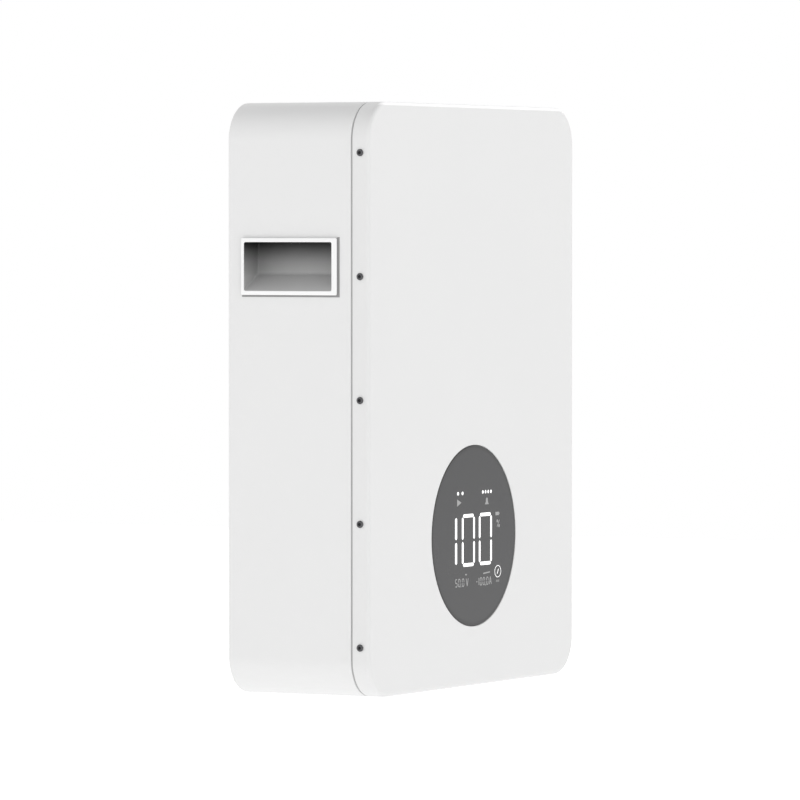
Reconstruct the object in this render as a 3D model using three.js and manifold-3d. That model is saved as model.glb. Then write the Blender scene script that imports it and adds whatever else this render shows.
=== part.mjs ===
// A wall-hung 51.2 V lithium battery unit: a white two-piece case with side grips and a round display,
// sixteen prismatic cells with their board inside, a connector bay underneath and a wall bracket behind.
// Millimetres, +Z up, front towards -Y. The origin is the middle of the bracket's wall face.
import * as THREE from "three";
import { mergeVertices } from "three/addons/utils/BufferGeometryUtils.js";
import Module from "manifold-3d";

const wasm = await Module();
wasm.setup();

// ---------------------------------------------------------------- driving dimensions
// Inside the unit group, x = 0 is the middle, y = 0 the front face and z = 0 the bottom of the case.
const caseWidth = 442;
const caseHeight = 582;
const caseDepth = 158;
const cornerRadius = 38;
const sheet = 2; // wall of the case
const gap = 0.3; // between pieces that touch
const fitClearance = 0.5; // around a piece that drops into a cut-out

const coverDepth = 18.6;
const coverEdgeRadius = 3.5;
const shellEdgeRadius = 2.5;
const seamGap = 1.6;
const collarReach = 13.5; // how far the shell's inner collar goes in under the cover
const collarRoot = 12; // and how far it is welded along the shell's wall
const collarSheet = 1.6;

const screwRows = 5;
const screwPitch = 120.5;
const screwFromFront = 9.8;
const screwHeadRadius = 3.5;
const screwHeadHeight = 1.4;
const screwShankRadius = 2;
const screwLength = 8;
const socketRadius = 1.5; // hexagon socket in the head, across its corners
const socketDepth = 0.9;

const gripWidth = 98; // opening of the side grip, along y
const gripHeight = 47.7;
const gripDepth = 29;
const gripFloorRise = 16.4; // the floor climbs this much towards the back wall
const gripWall = 2;
const gripBand = 4.6; // visible rim ahead of and behind the opening, on average
const gripSill = 4.1; // and below and above it
const gripRim = 2.5; // thickness of that rim
const gripY = 89.4; // the opening's middle
const gripRimLead = 1.3; // the rim sits this much further forward
const gripZ = 421.1;

const lensRadius = 90.7;
const lensThickness = 3;
const lensZ = 150.4;
const lensGap = 0.4;
const lensLedge = 6.7; // how far the bezel reaches in behind the lens
const bezelWall = 2;
const bezelDepth = 9.7;
const bezelFlange = 4.5;
const moduleMargin = 4; // between the LED module's corners and the bezel's ledge
const moduleSlant = 39.5; // degrees from level to the module's diagonal
const moduleDepth = 5.4;
const boardSnap = 1.4; // how far the skirt of the bezel stands outside its bore
const boardThickness = 1.6;

const bayWidth = 296; // connector bay, inside
const bayLength = 88;
const bayHeight = 36;
const bayY = 90;
const baySheet = 1.5;
const bayFlange = 8;

const cellWidth = 160; // prismatic lithium iron phosphate cell of about 100 Ah
const cellHeight = 118.5;
const cellThickness = 50;
const cellsPerColumn = 8;
const cellSpacing = 0.5;
const columnGap = 2.4;
const cellBackClearance = 2;
const postWidth = 22;
const postDepth = 18;
const postRise = 3.5;
const postOffset = 52;
const packPlate = 6;
const packPlateOverhang = 14;

const boardWidth = 330; // battery management board
const boardLength = 110;
const heatsinkWidth = 200;
const heatsinkLength = 60;
const heatsinkHeight = 22;
const wiringSpace = 7; // between the breaker and the board above it
const finCount = 9;

const wallGap = 14; // case back to wall
const strip = 2; // steel of the bracket and the rail
const bracketWidth = 320;
const bracketHeight = 80;
const bracketZ = 420; // bracket middle above the case's bottom
const railWidth = 300;
const hookLap = 22; // how far the bracket's lip stands inside the rail's hook
const slotLength = 20;
const slotRadius = 4.5;

const seamY = coverDepth + seamGap;
const halfWidth = caseWidth / 2;
const bayTop = bayHeight + baySheet;

// ---------------------------------------------------------------- solids
const solidOf = (geometry) => {
  const bare = geometry.index ? geometry.toNonIndexed() : geometry.clone();
  bare.deleteAttribute("normal");
  bare.deleteAttribute("uv");
  const merged = mergeVertices(bare);
  return new wasm.Manifold(
    new wasm.Mesh({
      numProp: 3,
      vertProperties: new Float32Array(merged.attributes.position.array),
      triVerts: new Uint32Array(merged.index.array),
    }),
  );
};

const geometryOf = (solid) => {
  const mesh = solid.getMesh();
  const points = new Float32Array(mesh.numVert * 3);
  for (let i = 0; i < mesh.numVert; i++) {
    points.set(mesh.vertProperties.subarray(i * mesh.numProp, i * mesh.numProp + 3), i * 3);
  }
  const geometry = new THREE.BufferGeometry();
  geometry.setAttribute("position", new THREE.BufferAttribute(points, 3));
  geometry.setIndex(new THREE.BufferAttribute(new Uint32Array(mesh.triVerts), 1));
  const faceted = geometry.toNonIndexed();
  faceted.computeVertexNormals();
  return faceted;
};

const join = (...solids) => solids.reduce((all, next) => all.add(next));
const cut = (solid, ...tools) => tools.reduce((rest, tool) => rest.subtract(tool), solid);

const block = (x0, x1, y0, y1, z0, z1) =>
  solidOf(
    new THREE.BoxGeometry(x1 - x0, y1 - y0, z1 - z0).translate(
      (x0 + x1) / 2,
      (y0 + y1) / 2,
      (z0 + z1) / 2,
    ),
  );

// A block given by its middle in x and y and its two heights.
const blockAt = (x, y, width, length, z0, z1) =>
  block(x - width / 2, x + width / 2, y - length / 2, y + length / 2, z0, z1);

const roundedRect = (width, height, radius, x = 0, y = 0) => {
  const shape = new THREE.Shape();
  const right = x + width / 2 - radius;
  const left = x - width / 2 + radius;
  const top = y + height / 2 - radius;
  const bottom = y - height / 2 + radius;
  shape.absarc(right, top, radius, 0, Math.PI / 2, false);
  shape.absarc(left, top, radius, Math.PI / 2, Math.PI, false);
  shape.absarc(left, bottom, radius, Math.PI, 1.5 * Math.PI, false);
  shape.absarc(right, bottom, radius, 1.5 * Math.PI, 2 * Math.PI, false);
  shape.closePath();
  return shape;
};

const polygon = (points) => new THREE.Shape(points.map(([x, y]) => new THREE.Vector2(x, y)));

const extruded = (shape, length, edge, segments) =>
  new THREE.ExtrudeGeometry(shape, {
    depth: length - 2 * edge,
    curveSegments: segments,
    bevelEnabled: edge > 0,
    bevelThickness: edge,
    bevelSize: edge,
    bevelOffset: -edge,
    bevelSegments: 2,
  }).translate(0, 0, edge);

// A shape drawn in x and z, extruded from y0 to y1. An edge radius rounds both ends.
const prismY = (shape, y0, y1, edge = 0, segments = 5) =>
  solidOf(extruded(shape, y1 - y0, edge, segments).rotateX(Math.PI / 2).translate(0, y1, 0));

// A shape drawn in y and z, extruded from x0 to x1.
const prismX = (shape, x0, x1, segments = 6) =>
  solidOf(
    extruded(shape, x1 - x0, 0, segments)
      .rotateX(Math.PI / 2)
      .rotateZ(Math.PI / 2)
      .translate(x0, 0, 0),
  );

// A shape drawn in x and y, extruded from z0 to z1.
const prismZ = (shape, z0, z1, segments = 6) =>
  solidOf(extruded(shape, z1 - z0, 0, segments).translate(0, 0, z0));

// Points of radius and height, turned about +Y; the order of the points doesn't matter.
const turned = (points, segments) => {
  const area = points.reduce((sum, [r, h], i) => {
    const [nextR, nextH] = points[(i + 1) % points.length];
    return sum + r * nextH - nextR * h;
  }, 0);
  const ordered = area > 0 ? points : [...points].reverse();
  const closed = ordered.every(([r]) => r > 0) ? [...ordered, ordered[0]] : ordered;
  return new THREE.LatheGeometry(
    closed.map(([r, h]) => new THREE.Vector2(r, h)),
    segments,
  );
};

const turnedY = (points, x, z, segments = 36) =>
  solidOf(turned(points, segments).translate(x, 0, z));

const turnedZ = (points, x, y, segments = 20) =>
  solidOf(turned(points, segments).rotateX(Math.PI / 2).translate(x, y, 0));

const turnedX = (points, y, z, segments = 24) =>
  solidOf(turned(points, segments).rotateZ(-Math.PI / 2).translate(0, y, z));

const rod = (radius, from, to) => [
  [0, from],
  [radius, from],
  [radius, to],
  [0, to],
];

// The case's outline, taken in by an inset, from y0 to y1.
const caseOutline = (inset, y0, y1, edge = 0) =>
  prismY(
    roundedRect(
      caseWidth - 2 * inset,
      caseHeight - 2 * inset,
      cornerRadius - inset,
      0,
      caseHeight / 2,
    ),
    y0,
    y1,
    edge,
  );

// ---------------------------------------------------------------- finishes
const finish = (color, roughness, metalness = 0) =>
  new THREE.MeshStandardMaterial({ color, roughness, metalness });

const finishes = {
  whiteCoat: finish(0xe9e9e9, 0.35),
  whitePlastic: finish(0xf1f1f1, 0.45),
  darkGlass: finish(0x666666, 0.12),
  blackSteel: finish(0x2b2b2c, 0.4, 0.8),
  rubber: finish(0x3a3a3b, 0.8),
  zincSteel: finish(0xb4b8ba, 0.38, 1),
  aluminium: finish(0xc3c6c8, 0.4, 1),
  blackPlastic: finish(0x1f2021, 0.5),
  orangePlastic: finish(0xe8681a, 0.45),
  greyPlastic: finish(0xc9cbcb, 0.5),
  greenPlastic: finish(0x2f8b4c, 0.5),
  bluePlastic: finish(0x1f4fa0, 0.45),
  circuitBoard: finish(0x1d5a38, 0.45),
  cellFilm: finish(0x2a63b8, 0.35),
};

const battery = new THREE.Group();
const unit = new THREE.Group();
unit.position.set(0, -(caseDepth + wallGap), -bracketZ);
battery.add(unit);

const add = (name, solid, material, group = unit) => {
  const mesh = new THREE.Mesh(geometryOf(solid), material);
  mesh.name = name;
  group.add(mesh);
};

// ---------------------------------------------------------------- case
const screwHeights = Array.from(
  { length: screwRows },
  (_, i) => caseHeight / 2 + ((screwRows - 1) / 2 - i) * screwPitch,
);

const screwHoles = (radius) => {
  const across = rod(radius, -caseWidth, caseWidth);
  return screwHeights.map((z) => turnedX(across, screwFromFront, z, 10));
};

// What the side grip's body fills beyond its opening, below and above it.
const gripFloorWall = gripWall * Math.hypot(1, gripFloorRise / gripDepth);

const gripCutouts = () => {
  const width = gripWidth + 2 * (gripWall + fitClearance);
  const below = gripHeight / 2 + gripFloorWall + fitClearance;
  const above = gripHeight / 2 + gripWall + fitClearance;
  return block(
    -caseWidth,
    caseWidth,
    gripY - width / 2,
    gripY + width / 2,
    gripZ - below,
    gripZ + above,
  );
};

function frontCover() {
  const outside = caseOutline(0, 0, 2 * coverDepth, coverEdgeRadius);
  const inside = caseOutline(sheet, sheet, 3 * coverDepth, coverEdgeRadius - sheet);
  const behind = block(-caseWidth, caseWidth, coverDepth, 4 * coverDepth, -sheet, 2 * caseHeight);
  const window = turnedY(rod(lensRadius + lensGap, -sheet, 2 * sheet), 0, lensZ, 64);
  return cut(outside, inside, behind, window, ...screwHoles(screwShankRadius + gap));
}

function rearShell() {
  const outside = caseOutline(0, -caseDepth, caseDepth, shellEdgeRadius);
  const inside = caseOutline(sheet, -2 * caseDepth, caseDepth - sheet);
  const ahead = block(-caseWidth, caseWidth, -2 * caseDepth, seamY, -sheet, 2 * caseHeight);
  const tray = cut(outside, inside, ahead);
  const collarInset = sheet + fitClearance;
  const collar = join(
    caseOutline(collarInset, seamY - seamGap - collarReach, seamY + collarRoot),
    caseOutline(sheet / 2, seamY, seamY + collarRoot),
  );
  const throat = caseOutline(collarInset + collarSheet, -caseDepth, caseDepth / 2);
  const bayMouth = prismZ(roundedRect(bayWidth, bayLength, 3, 0, bayY), -sheet, 2 * sheet);
  return cut(
    join(tray, cut(collar, throat)),
    ...screwHoles(screwShankRadius + gap),
    gripCutouts(),
    bayMouth,
  );
}

function coverGasket() {
  const from = coverDepth + gap;
  const to = seamY - gap;
  const outer = caseOutline(0.7, from, to);
  const inner = caseOutline(sheet + fitClearance - gap, from - sheet, to + sheet);
  return cut(outer, inner);
}

// A low-head screw through the cover's side, on the side given by the sign of x.
function coverScrew(side, z) {
  const seat = halfWidth + gap;
  const top = seat + screwHeadHeight;
  const chamfer = 0.4;
  const profile = [
    [0, seat - screwLength],
    [screwShankRadius, seat - screwLength],
    [screwShankRadius, seat],
    [screwHeadRadius, seat],
    [screwHeadRadius, top - chamfer],
    [screwHeadRadius - chamfer, top],
    [0, top],
  ].map(([r, x]) => [r, side * x]);
  const socket = rod(socketRadius, side * (top - socketDepth), side * 2 * top);
  return cut(turnedX(profile, screwFromFront, z, 12), turnedX(socket, screwFromFront, z, 6));
}

// A recessed grip: a rim outside the case's side and a cup with a climbing floor inside it.
function sideGrip(side) {
  const rimIn = halfWidth + gap;
  const rimOut = rimIn + gripRim;
  const bottom = gripZ - gripHeight / 2;
  const top = gripZ + gripHeight / 2;
  const back = rimOut - gripDepth;
  const half = gripWidth / 2;
  const place = (points) => polygon(points.map(([x, z]) => [side * x, z]));
  const rimY = gripY - gripRimLead;
  const rim = block(
    side > 0 ? rimIn : -rimOut,
    side > 0 ? rimOut : -rimIn,
    rimY - half - gripBand,
    rimY + half + gripBand,
    bottom - gripSill,
    top + gripSill,
  );
  const mouth = rimIn + gripRim / 2;
  const cup = prismY(
    place([
      [mouth, bottom - gripFloorWall],
      [mouth, top + gripWall],
      [back - gripWall, top + gripWall],
      [back - gripWall, bottom + gripFloorRise - gripFloorWall / 2],
    ]),
    gripY - half - gripWall,
    gripY + half + gripWall,
  );
  const slope = gripFloorRise / gripDepth;
  const reach = 5; // the cutter starts this far outside the mouth
  const hollow = prismY(
    place([
      [rimOut + reach, bottom - slope * reach],
      [rimOut + reach, top],
      [back, top],
      [back, bottom + gripFloorRise],
    ]),
    gripY - half,
    gripY + half,
  );
  const lowerLip = block(
    -2 * rimOut,
    2 * rimOut,
    gripY - half,
    gripY + half,
    bottom - gripSill,
    bottom,
  );
  return cut(join(rim, cup), hollow.subtract(lowerLip));
}

add("rear_shell", rearShell(), finishes.whiteCoat);
add("front_cover", frontCover(), finishes.whiteCoat);
add("cover_gasket", coverGasket(), finishes.rubber);
screwHeights.forEach((z, i) => {
  add(`cover_screw_left_${i + 1}`, coverScrew(-1, z), finishes.blackSteel);
  add(`cover_screw_right_${i + 1}`, coverScrew(1, z), finishes.blackSteel);
});
add("handle_cup_left", sideGrip(-1), finishes.whitePlastic);
add("handle_cup_right", sideGrip(1), finishes.whitePlastic);

// ---------------------------------------------------------------- display
const lensFront = 0.2; // the lens sits this far behind the cover's face
const lensBack = lensFront + lensThickness;

function displayBezel() {
  const front = sheet + gap;
  const ledge = lensBack + gap;
  const bore = lensRadius + lensGap;
  const skirt = bore + boardSnap;
  const profile = [
    [bore, front],
    [skirt + bezelWall + bezelFlange, front],
    [skirt + bezelWall + bezelFlange, front + bezelWall],
    [skirt + bezelWall, front + bezelWall],
    [skirt + bezelWall, front + bezelDepth],
    [skirt, front + bezelDepth],
    [skirt, ledge + bezelWall],
    [bore - lensGap - lensLedge, ledge + bezelWall],
    [bore - lensGap - lensLedge, ledge],
    [bore, ledge],
  ];
  return turnedY(profile, 0, lensZ);
}

const moduleFront = lensBack + gap;
const moduleBack = moduleFront + moduleDepth;

function ledModule() {
  const diagonal = lensRadius - lensLedge - moduleMargin;
  const slant = THREE.MathUtils.degToRad(moduleSlant);
  const half = diagonal * Math.cos(slant);
  const rise = diagonal * Math.sin(slant);
  return block(-half, half, moduleFront, moduleBack, lensZ - rise, lensZ + rise);
}

function displayBoard() {
  const from = moduleBack + gap;
  const radius = lensRadius + lensGap + boardSnap - fitClearance;
  return turnedY(rod(radius, from, from + boardThickness), 0, lensZ);
}

add("display_bezel", displayBezel(), finishes.blackPlastic);
add(
  "display_lens",
  turnedY(rod(lensRadius, lensFront, lensBack), 0, lensZ, 64),
  finishes.darkGlass,
);
add("led_module", ledModule(), finishes.blackPlastic);
add("display_board", displayBoard(), finishes.circuitBoard);

// ---------------------------------------------------------------- connector bay
// Everything in the bay hangs from its ceiling plate. Places are x and y of each piece's middle.
const places = {
  positive: [-118, bayY],
  negative: [-80, bayY],
  breaker: [-38, bayY],
  sockets: [32, 74],
  dip: [24, 110],
  reset: [46, 110],
  dryContact: [86, 74],
  power: [122, bayY],
  ground: [-99, 121],
  valve: [-134, 121],
};

const breakerWidth = 36;
const breakerLength = 54;
const breakerHeight = 57;
const noseLength = 45;
const noseDrop = 8;
const leverRadius = 9;
const leverReach = 21;
const leverThickness = 5;
const leverTilt = 35; // degrees each way from upright
const leverWidth = 27;
const leverZ = bayHeight - 1;

const terminalCollar = 10;
const terminalBore = 7;
const terminalPin = 4;
const terminalFlange = 30;
const terminalBody = 9;

const socketCount = 4;
const socketPitch = 15;
const socketLength = 16.4;
const socketWidthIn = 11.8;
const socketLengthIn = 8;
const socketDrop = 12;
const socketTop = 46;
const socketDeep = 12;

const dipCount = 4;
const dipPitch = 2.54;
const dipWidth = 12.2;
const dipLength = 10;
const dipDrop = 4;
const dipTravel = 2;
const dipSlider = [1, 1.6]; // along x and y
const dipSlotDepth = 1.2;
const dipStandOut = 0.8;

const resetRadius = 1.6;
const resetStandOut = 1.5;
const powerCap = 7;
const powerBody = 9.2;
const powerFlange = 11;
const powerStandOut = 1.8;
const powerTravel = 2.5;
const dryWidth = 23;
const dryLength = 12;
const dryDrop = 10;
const studRadius = 3;
const valveCap = 8;
const valveNeck = 5.8;

const plateFace = bayHeight - gap; // where a piece seated under the ceiling plate begins
const interfaceBoardZ = socketTop + gap;

function connectorBay() {
  const lift = sheet + gap;
  const halfIn = [bayWidth / 2, bayLength / 2];
  const tub = blockAt(0, bayY, bayWidth + 2 * baySheet, bayLength + 2 * baySheet, lift, bayTop);
  const edge = 2 * (baySheet + bayFlange);
  const flange = blockAt(0, bayY, bayWidth + edge, bayLength + edge, lift, lift + baySheet);
  const inside = block(-halfIn[0], halfIn[0], bayY - halfIn[1], bayY + halfIn[1], 0, bayHeight);
  const through = [bayHeight - 1, bayTop + 1];
  const window = ([x, y], width, length) =>
    blockAt(x, y, width + 2 * fitClearance, length + 2 * fitClearance, ...through);
  const hole = ([x, y], radius) => turnedZ(rod(radius, ...through), x, y, 16);
  return cut(
    join(tub, flange),
    inside,
    window(places.breaker, breakerWidth, noseLength),
    window(places.sockets, socketCount * socketPitch, socketLength),
    window(places.dip, dipWidth, dipLength),
    window(places.dryContact, dryWidth, dryLength),
    hole(places.positive, terminalBody + fitClearance),
    hole(places.negative, terminalBody + fitClearance),
    hole(places.reset, resetRadius + fitClearance),
    hole(places.power, powerBody + fitClearance),
    hole(places.ground, studRadius + fitClearance),
    hole(places.valve, valveNeck + fitClearance),
  );
}

function breakerBody() {
  const [x, y] = places.breaker;
  const face = bayHeight - noseDrop;
  const bodyFrom = bayTop + gap;
  const body = blockAt(x, y, breakerWidth, breakerLength, bodyFrom, bodyFrom + breakerHeight);
  const nose = blockAt(x, y, breakerWidth, noseLength, face, bodyFrom + 1);
  const pocketHalf = leverWidth / 2 + fitClearance;
  const pocket = rod(leverRadius + fitClearance, x - pocketHalf, x + pocketHalf);
  const slot = blockAt(x, y, 2 * pocketHalf, 26, face - 1, leverZ - 2);
  return cut(join(body, nose), turnedX(pocket, y, leverZ, 20), slot);
}

// The toggle at rest leans to the rear, which is on.
function breakerLever() {
  const [x, y] = places.breaker;
  const half = leverWidth / 2;
  const drum = turned(rod(leverRadius, -half, half), 18).rotateZ(-Math.PI / 2);
  const reach = leverReach - leverRadius / 2;
  const dolly = new THREE.BoxGeometry(leverWidth - 1, leverThickness, reach)
    .translate(0, 0, -leverRadius / 2 - reach / 2)
    .rotateX(THREE.MathUtils.degToRad(leverTilt));
  return join(
    solidOf(drum.translate(x, y, leverZ)),
    solidOf(dolly.translate(x, y, leverZ)),
  );
}

// A round power socket with its contact pin, on a square flange.
function powerTerminal([x, y]) {
  const mouth = 10;
  const boreTop = 28;
  const profile = [
    [0, bayTop + 22],
    [terminalPin, bayTop + 22],
    [terminalPin, bayTop + 13],
    [terminalBody, bayTop + 13],
    [terminalBody, plateFace - 1],
    [terminalCollar, plateFace - 1],
    [terminalCollar, mouth],
    [terminalBore, mouth],
    [terminalBore, boreTop],
    [terminalPin, boreTop],
    [terminalPin, mouth + 6],
    [0, mouth + 6],
  ];
  const flange = blockAt(x, y, terminalFlange, terminalFlange, plateFace - 3, plateFace);
  return join(turnedZ(profile, x, y), flange);
}

function dataSockets() {
  const [x, y] = places.sockets;
  const face = bayHeight - socketDrop;
  const body = blockAt(x, y, socketCount * socketPitch, socketLength, face, socketTop);
  const ports = Array.from({ length: socketCount }, (_, i) => {
    const portX = x + (i - (socketCount - 1) / 2) * socketPitch;
    return blockAt(portX, y, socketWidthIn, socketLengthIn, face - 1, face + socketDeep);
  });
  return cut(body, ...ports);
}

const dipX = (i) => places.dip[0] + (i - (dipCount - 1) / 2) * dipPitch;
const dipFace = bayHeight - dipDrop;

function dipBody() {
  const [x, y] = places.dip;
  const slotLengthY = dipSlider[1] + dipTravel + 2 * gap;
  const slots = Array.from({ length: dipCount }, (_, i) =>
    blockAt(dipX(i), y, dipSlider[0] + 2 * gap, slotLengthY, dipFace - 1, dipFace + dipSlotDepth),
  );
  return cut(blockAt(x, y, dipWidth, dipLength, dipFace, socketTop), ...slots);
}

function dipSliderAt(i) {
  const y = places.dip[1] - dipTravel / 2;
  const top = dipFace + dipSlotDepth - gap;
  return blockAt(dipX(i), y, dipSlider[0], dipSlider[1], dipFace - dipStandOut, top);
}

function powerCollar() {
  const [x, y] = places.power;
  const bore = powerCap + fitClearance;
  const deep = plateFace + powerTravel + 4;
  const profile = [
    [0, deep],
    [bore, deep],
    [bore, plateFace - powerTravel],
    [powerFlange, plateFace - powerTravel],
    [powerFlange, plateFace],
    [powerBody, plateFace],
    [powerBody, bayTop + 20],
    [0, bayTop + 20],
  ];
  return turnedZ(profile, x, y);
}

function powerButton() {
  const [x, y] = places.power;
  const face = plateFace - powerTravel - powerStandOut;
  return turnedZ(rod(powerCap, face, plateFace + 3), x, y);
}

function groundStud() {
  const [x, y] = places.ground;
  const nutAcross = 10;
  const nutRadius = nutAcross / Math.sqrt(3);
  return join(
    turnedZ(rod(studRadius, 18, bayTop + 7), x, y, 16),
    turnedZ(rod(6.5, plateFace - 1.6, plateFace), x, y, 16),
    turnedZ(rod(nutRadius, plateFace - 6.6, plateFace - 1.6), x, y, 6),
  );
}

function pressureValve() {
  const [x, y] = places.valve;
  const profile = [
    [0, plateFace - 6],
    [valveCap - 1, plateFace - 6],
    [valveCap, plateFace - 5],
    [valveCap, plateFace],
    [valveNeck, plateFace],
    [valveNeck, bayTop + 8],
    [0, bayTop + 8],
  ];
  return turnedZ(profile, x, y);
}

function interfaceBoard() {
  const [x, y] = [places.sockets[0] + 20, bayY + 2];
  return blockAt(x, y, 112, 70, interfaceBoardZ, interfaceBoardZ + boardThickness);
}

add("connector_bay", connectorBay(), finishes.zincSteel);
add("breaker_body", breakerBody(), finishes.greyPlastic);
add("breaker_lever", breakerLever(), finishes.blackPlastic);
add("terminal_positive", powerTerminal(places.positive), finishes.orangePlastic);
add("terminal_negative", powerTerminal(places.negative), finishes.blackPlastic);
add("data_sockets", dataSockets(), finishes.blackPlastic);
add("dip_switch_body", dipBody(), finishes.bluePlastic);
for (let i = 0; i < dipCount; i++) {
  add(`dip_slider_${i + 1}`, dipSliderAt(i), finishes.whitePlastic);
}
add(
  "reset_button",
  turnedZ(rod(resetRadius, bayHeight - resetStandOut, socketTop - 1.5), ...places.reset, 16),
  finishes.blackPlastic,
);
add("power_button_collar", powerCollar(), finishes.zincSteel);
add("power_button", powerButton(), finishes.zincSteel);
add(
  "dry_contact_block",
  blockAt(...places.dryContact, dryWidth, dryLength, bayHeight - dryDrop, socketTop),
  finishes.greenPlastic,
);
add("ground_stud", groundStud(), finishes.zincSteel);
add("pressure_valve", pressureValve(), finishes.blackPlastic);
add("interface_board", interfaceBoard(), finishes.circuitBoard);

// ---------------------------------------------------------------- cell pack and its board
const cellBack = caseDepth - sheet - cellBackClearance;
const cellFront = cellBack - cellHeight;
const boardZ = bayTop + gap + breakerHeight + wiringSpace;
const heatsinkZ = boardZ + boardThickness + gap;
const packBaseZ = heatsinkZ + heatsinkHeight + gap;
const cellBaseZ = packBaseZ + packPlate + gap;
const cellPitch = cellThickness + cellSpacing;
const cellsTop = cellBaseZ + cellsPerColumn * cellPitch - cellSpacing;
const columnX = (cellWidth + columnGap) / 2;

function cell(x, z) {
  const half = cellWidth / 2;
  const can = block(x - half, x + half, cellFront, cellBack, z, z + cellThickness);
  const middleZ = z + cellThickness / 2;
  const posts = [-postOffset, postOffset].map((offset) =>
    block(
      x + offset - postWidth / 2,
      x + offset + postWidth / 2,
      cellFront - postRise,
      cellFront + 1,
      middleZ - postDepth / 2,
      middleZ + postDepth / 2,
    ),
  );
  const vent = prismY(roundedRect(28, 12, 6, x, middleZ), cellFront - 1, cellFront + 0.6, 0, 1);
  return cut(join(can, ...posts), vent);
}

function packEndPlate(z) {
  const half = cellWidth + columnGap / 2 + packPlateOverhang;
  return block(-half, half, cellFront, caseDepth - sheet - gap, z, z + packPlate);
}

function bmsHeatsink() {
  const y = (cellFront + cellBack) / 2;
  const base = blockAt(0, y, heatsinkWidth, heatsinkLength, heatsinkZ, heatsinkZ + 3);
  const finPitch = (heatsinkLength - 2) / (finCount - 1);
  const fins = Array.from({ length: finCount }, (_, i) => {
    const finY = y - heatsinkLength / 2 + 1 + i * finPitch;
    return blockAt(0, finY, heatsinkWidth, 2, heatsinkZ + 1, heatsinkZ + heatsinkHeight);
  });
  return join(base, ...fins);
}

for (let i = 0; i < cellsPerColumn; i++) {
  const z = cellBaseZ + i * cellPitch;
  add(`cell_left_${i + 1}`, cell(-columnX, z), finishes.cellFilm);
  add(`cell_right_${i + 1}`, cell(columnX, z), finishes.cellFilm);
}
add("pack_plate_bottom", packEndPlate(packBaseZ), finishes.aluminium);
add("pack_plate_top", packEndPlate(cellsTop + gap), finishes.aluminium);
add(
  "bms_board",
  blockAt(0, (cellFront + cellBack) / 2, boardWidth, boardLength, boardZ, boardZ + boardThickness),
  finishes.circuitBoard,
);
add("bms_heatsink", bmsHeatsink(), finishes.aluminium);

// ---------------------------------------------------------------- hanging
const wall = caseDepth + wallGap;
const bracketTop = bracketZ + bracketHeight / 2;
const lipTop = bracketTop + 30;
const lipFront = caseDepth + gap + strip + 1.5; // the lip stands this far clear of the rail

// On the case's back: a hook that opens downwards.
function hangerRail() {
  const back = caseDepth + gap;
  const top = lipTop + gap + strip;
  const lipBack = lipFront + strip + 1.5;
  const profile = polygon([
    [back, top - 50],
    [back, top],
    [lipBack + strip, top],
    [lipBack + strip, lipTop - hookLap],
    [lipBack, lipTop - hookLap],
    [lipBack, top - strip],
    [back + strip, top - strip],
    [back + strip, top - 50],
  ]);
  return prismX(profile, -railWidth / 2, railWidth / 2);
}

// On the wall: a slotted plate whose upper edge steps forward and stands up as a lip.
function wallBracket() {
  const profile = polygon([
    [wall, bracketTop - bracketHeight],
    [wall, bracketTop],
    [lipFront + strip, bracketTop],
    [lipFront + strip, lipTop],
    [lipFront, lipTop],
    [lipFront, bracketTop - strip],
    [wall - strip, bracketTop - strip],
    [wall - strip, bracketTop - bracketHeight],
  ]);
  const plate = prismX(profile, -bracketWidth / 2, bracketWidth / 2);
  const slots = [-1, 1].flatMap((across) =>
    [-1, 1].map((up) =>
      prismY(
        roundedRect(
          slotLength,
          2 * slotRadius,
          slotRadius,
          across * (bracketWidth / 2 - 40),
          bracketZ + up * (bracketHeight / 2 - 18),
        ),
        wall - 2 * strip,
        wall + strip,
        0,
        2,
      ),
    ),
  );
  return cut(plate, ...slots);
}

// A channel low on the case's back that keeps the case upright against the wall.
function wallSpacer() {
  const low = 40;
  const high = 64;
  const profile = polygon([
    [caseDepth + gap, low],
    [wall, low],
    [wall, high],
    [caseDepth + gap, high],
    [caseDepth + gap, high - strip],
    [wall - strip, high - strip],
    [wall - strip, low + strip],
    [caseDepth + gap, low + strip],
  ]);
  return prismX(profile, -railWidth / 2, railWidth / 2);
}

add("hanger_rail", hangerRail(), finishes.zincSteel);
add("wall_bracket", wallBracket(), finishes.zincSteel);
add("wall_spacer", wallSpacer(), finishes.zincSteel);

export default battery;
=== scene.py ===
# Wall battery unit: detailed pieces and procedural finishes round the fixed CAD frame.
import math
import bpy
import bmesh
from mathutils import Vector, Matrix


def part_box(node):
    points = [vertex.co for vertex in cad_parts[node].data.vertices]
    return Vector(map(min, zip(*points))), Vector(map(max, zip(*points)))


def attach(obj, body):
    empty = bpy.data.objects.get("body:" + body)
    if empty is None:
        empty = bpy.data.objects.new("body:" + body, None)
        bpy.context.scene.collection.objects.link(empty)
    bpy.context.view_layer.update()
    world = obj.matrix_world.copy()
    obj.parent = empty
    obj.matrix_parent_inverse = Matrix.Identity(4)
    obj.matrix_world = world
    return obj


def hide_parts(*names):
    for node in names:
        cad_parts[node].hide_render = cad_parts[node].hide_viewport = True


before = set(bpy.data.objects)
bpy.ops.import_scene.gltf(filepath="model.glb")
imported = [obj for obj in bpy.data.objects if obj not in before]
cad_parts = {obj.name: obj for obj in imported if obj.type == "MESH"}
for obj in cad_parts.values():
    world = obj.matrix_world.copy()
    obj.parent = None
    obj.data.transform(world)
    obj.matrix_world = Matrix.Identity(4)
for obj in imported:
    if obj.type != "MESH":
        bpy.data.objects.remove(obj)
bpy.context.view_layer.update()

mm = 0.001
coverLow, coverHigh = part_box("front_cover")
shellLow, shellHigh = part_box("rear_shell")
lensLow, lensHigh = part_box("display_lens")
cupLow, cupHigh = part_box("handle_cup_left")
bayLow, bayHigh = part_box("connector_bay")
frontY = coverLow.y  # the cover's face
bottomZ = shellLow.z
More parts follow.
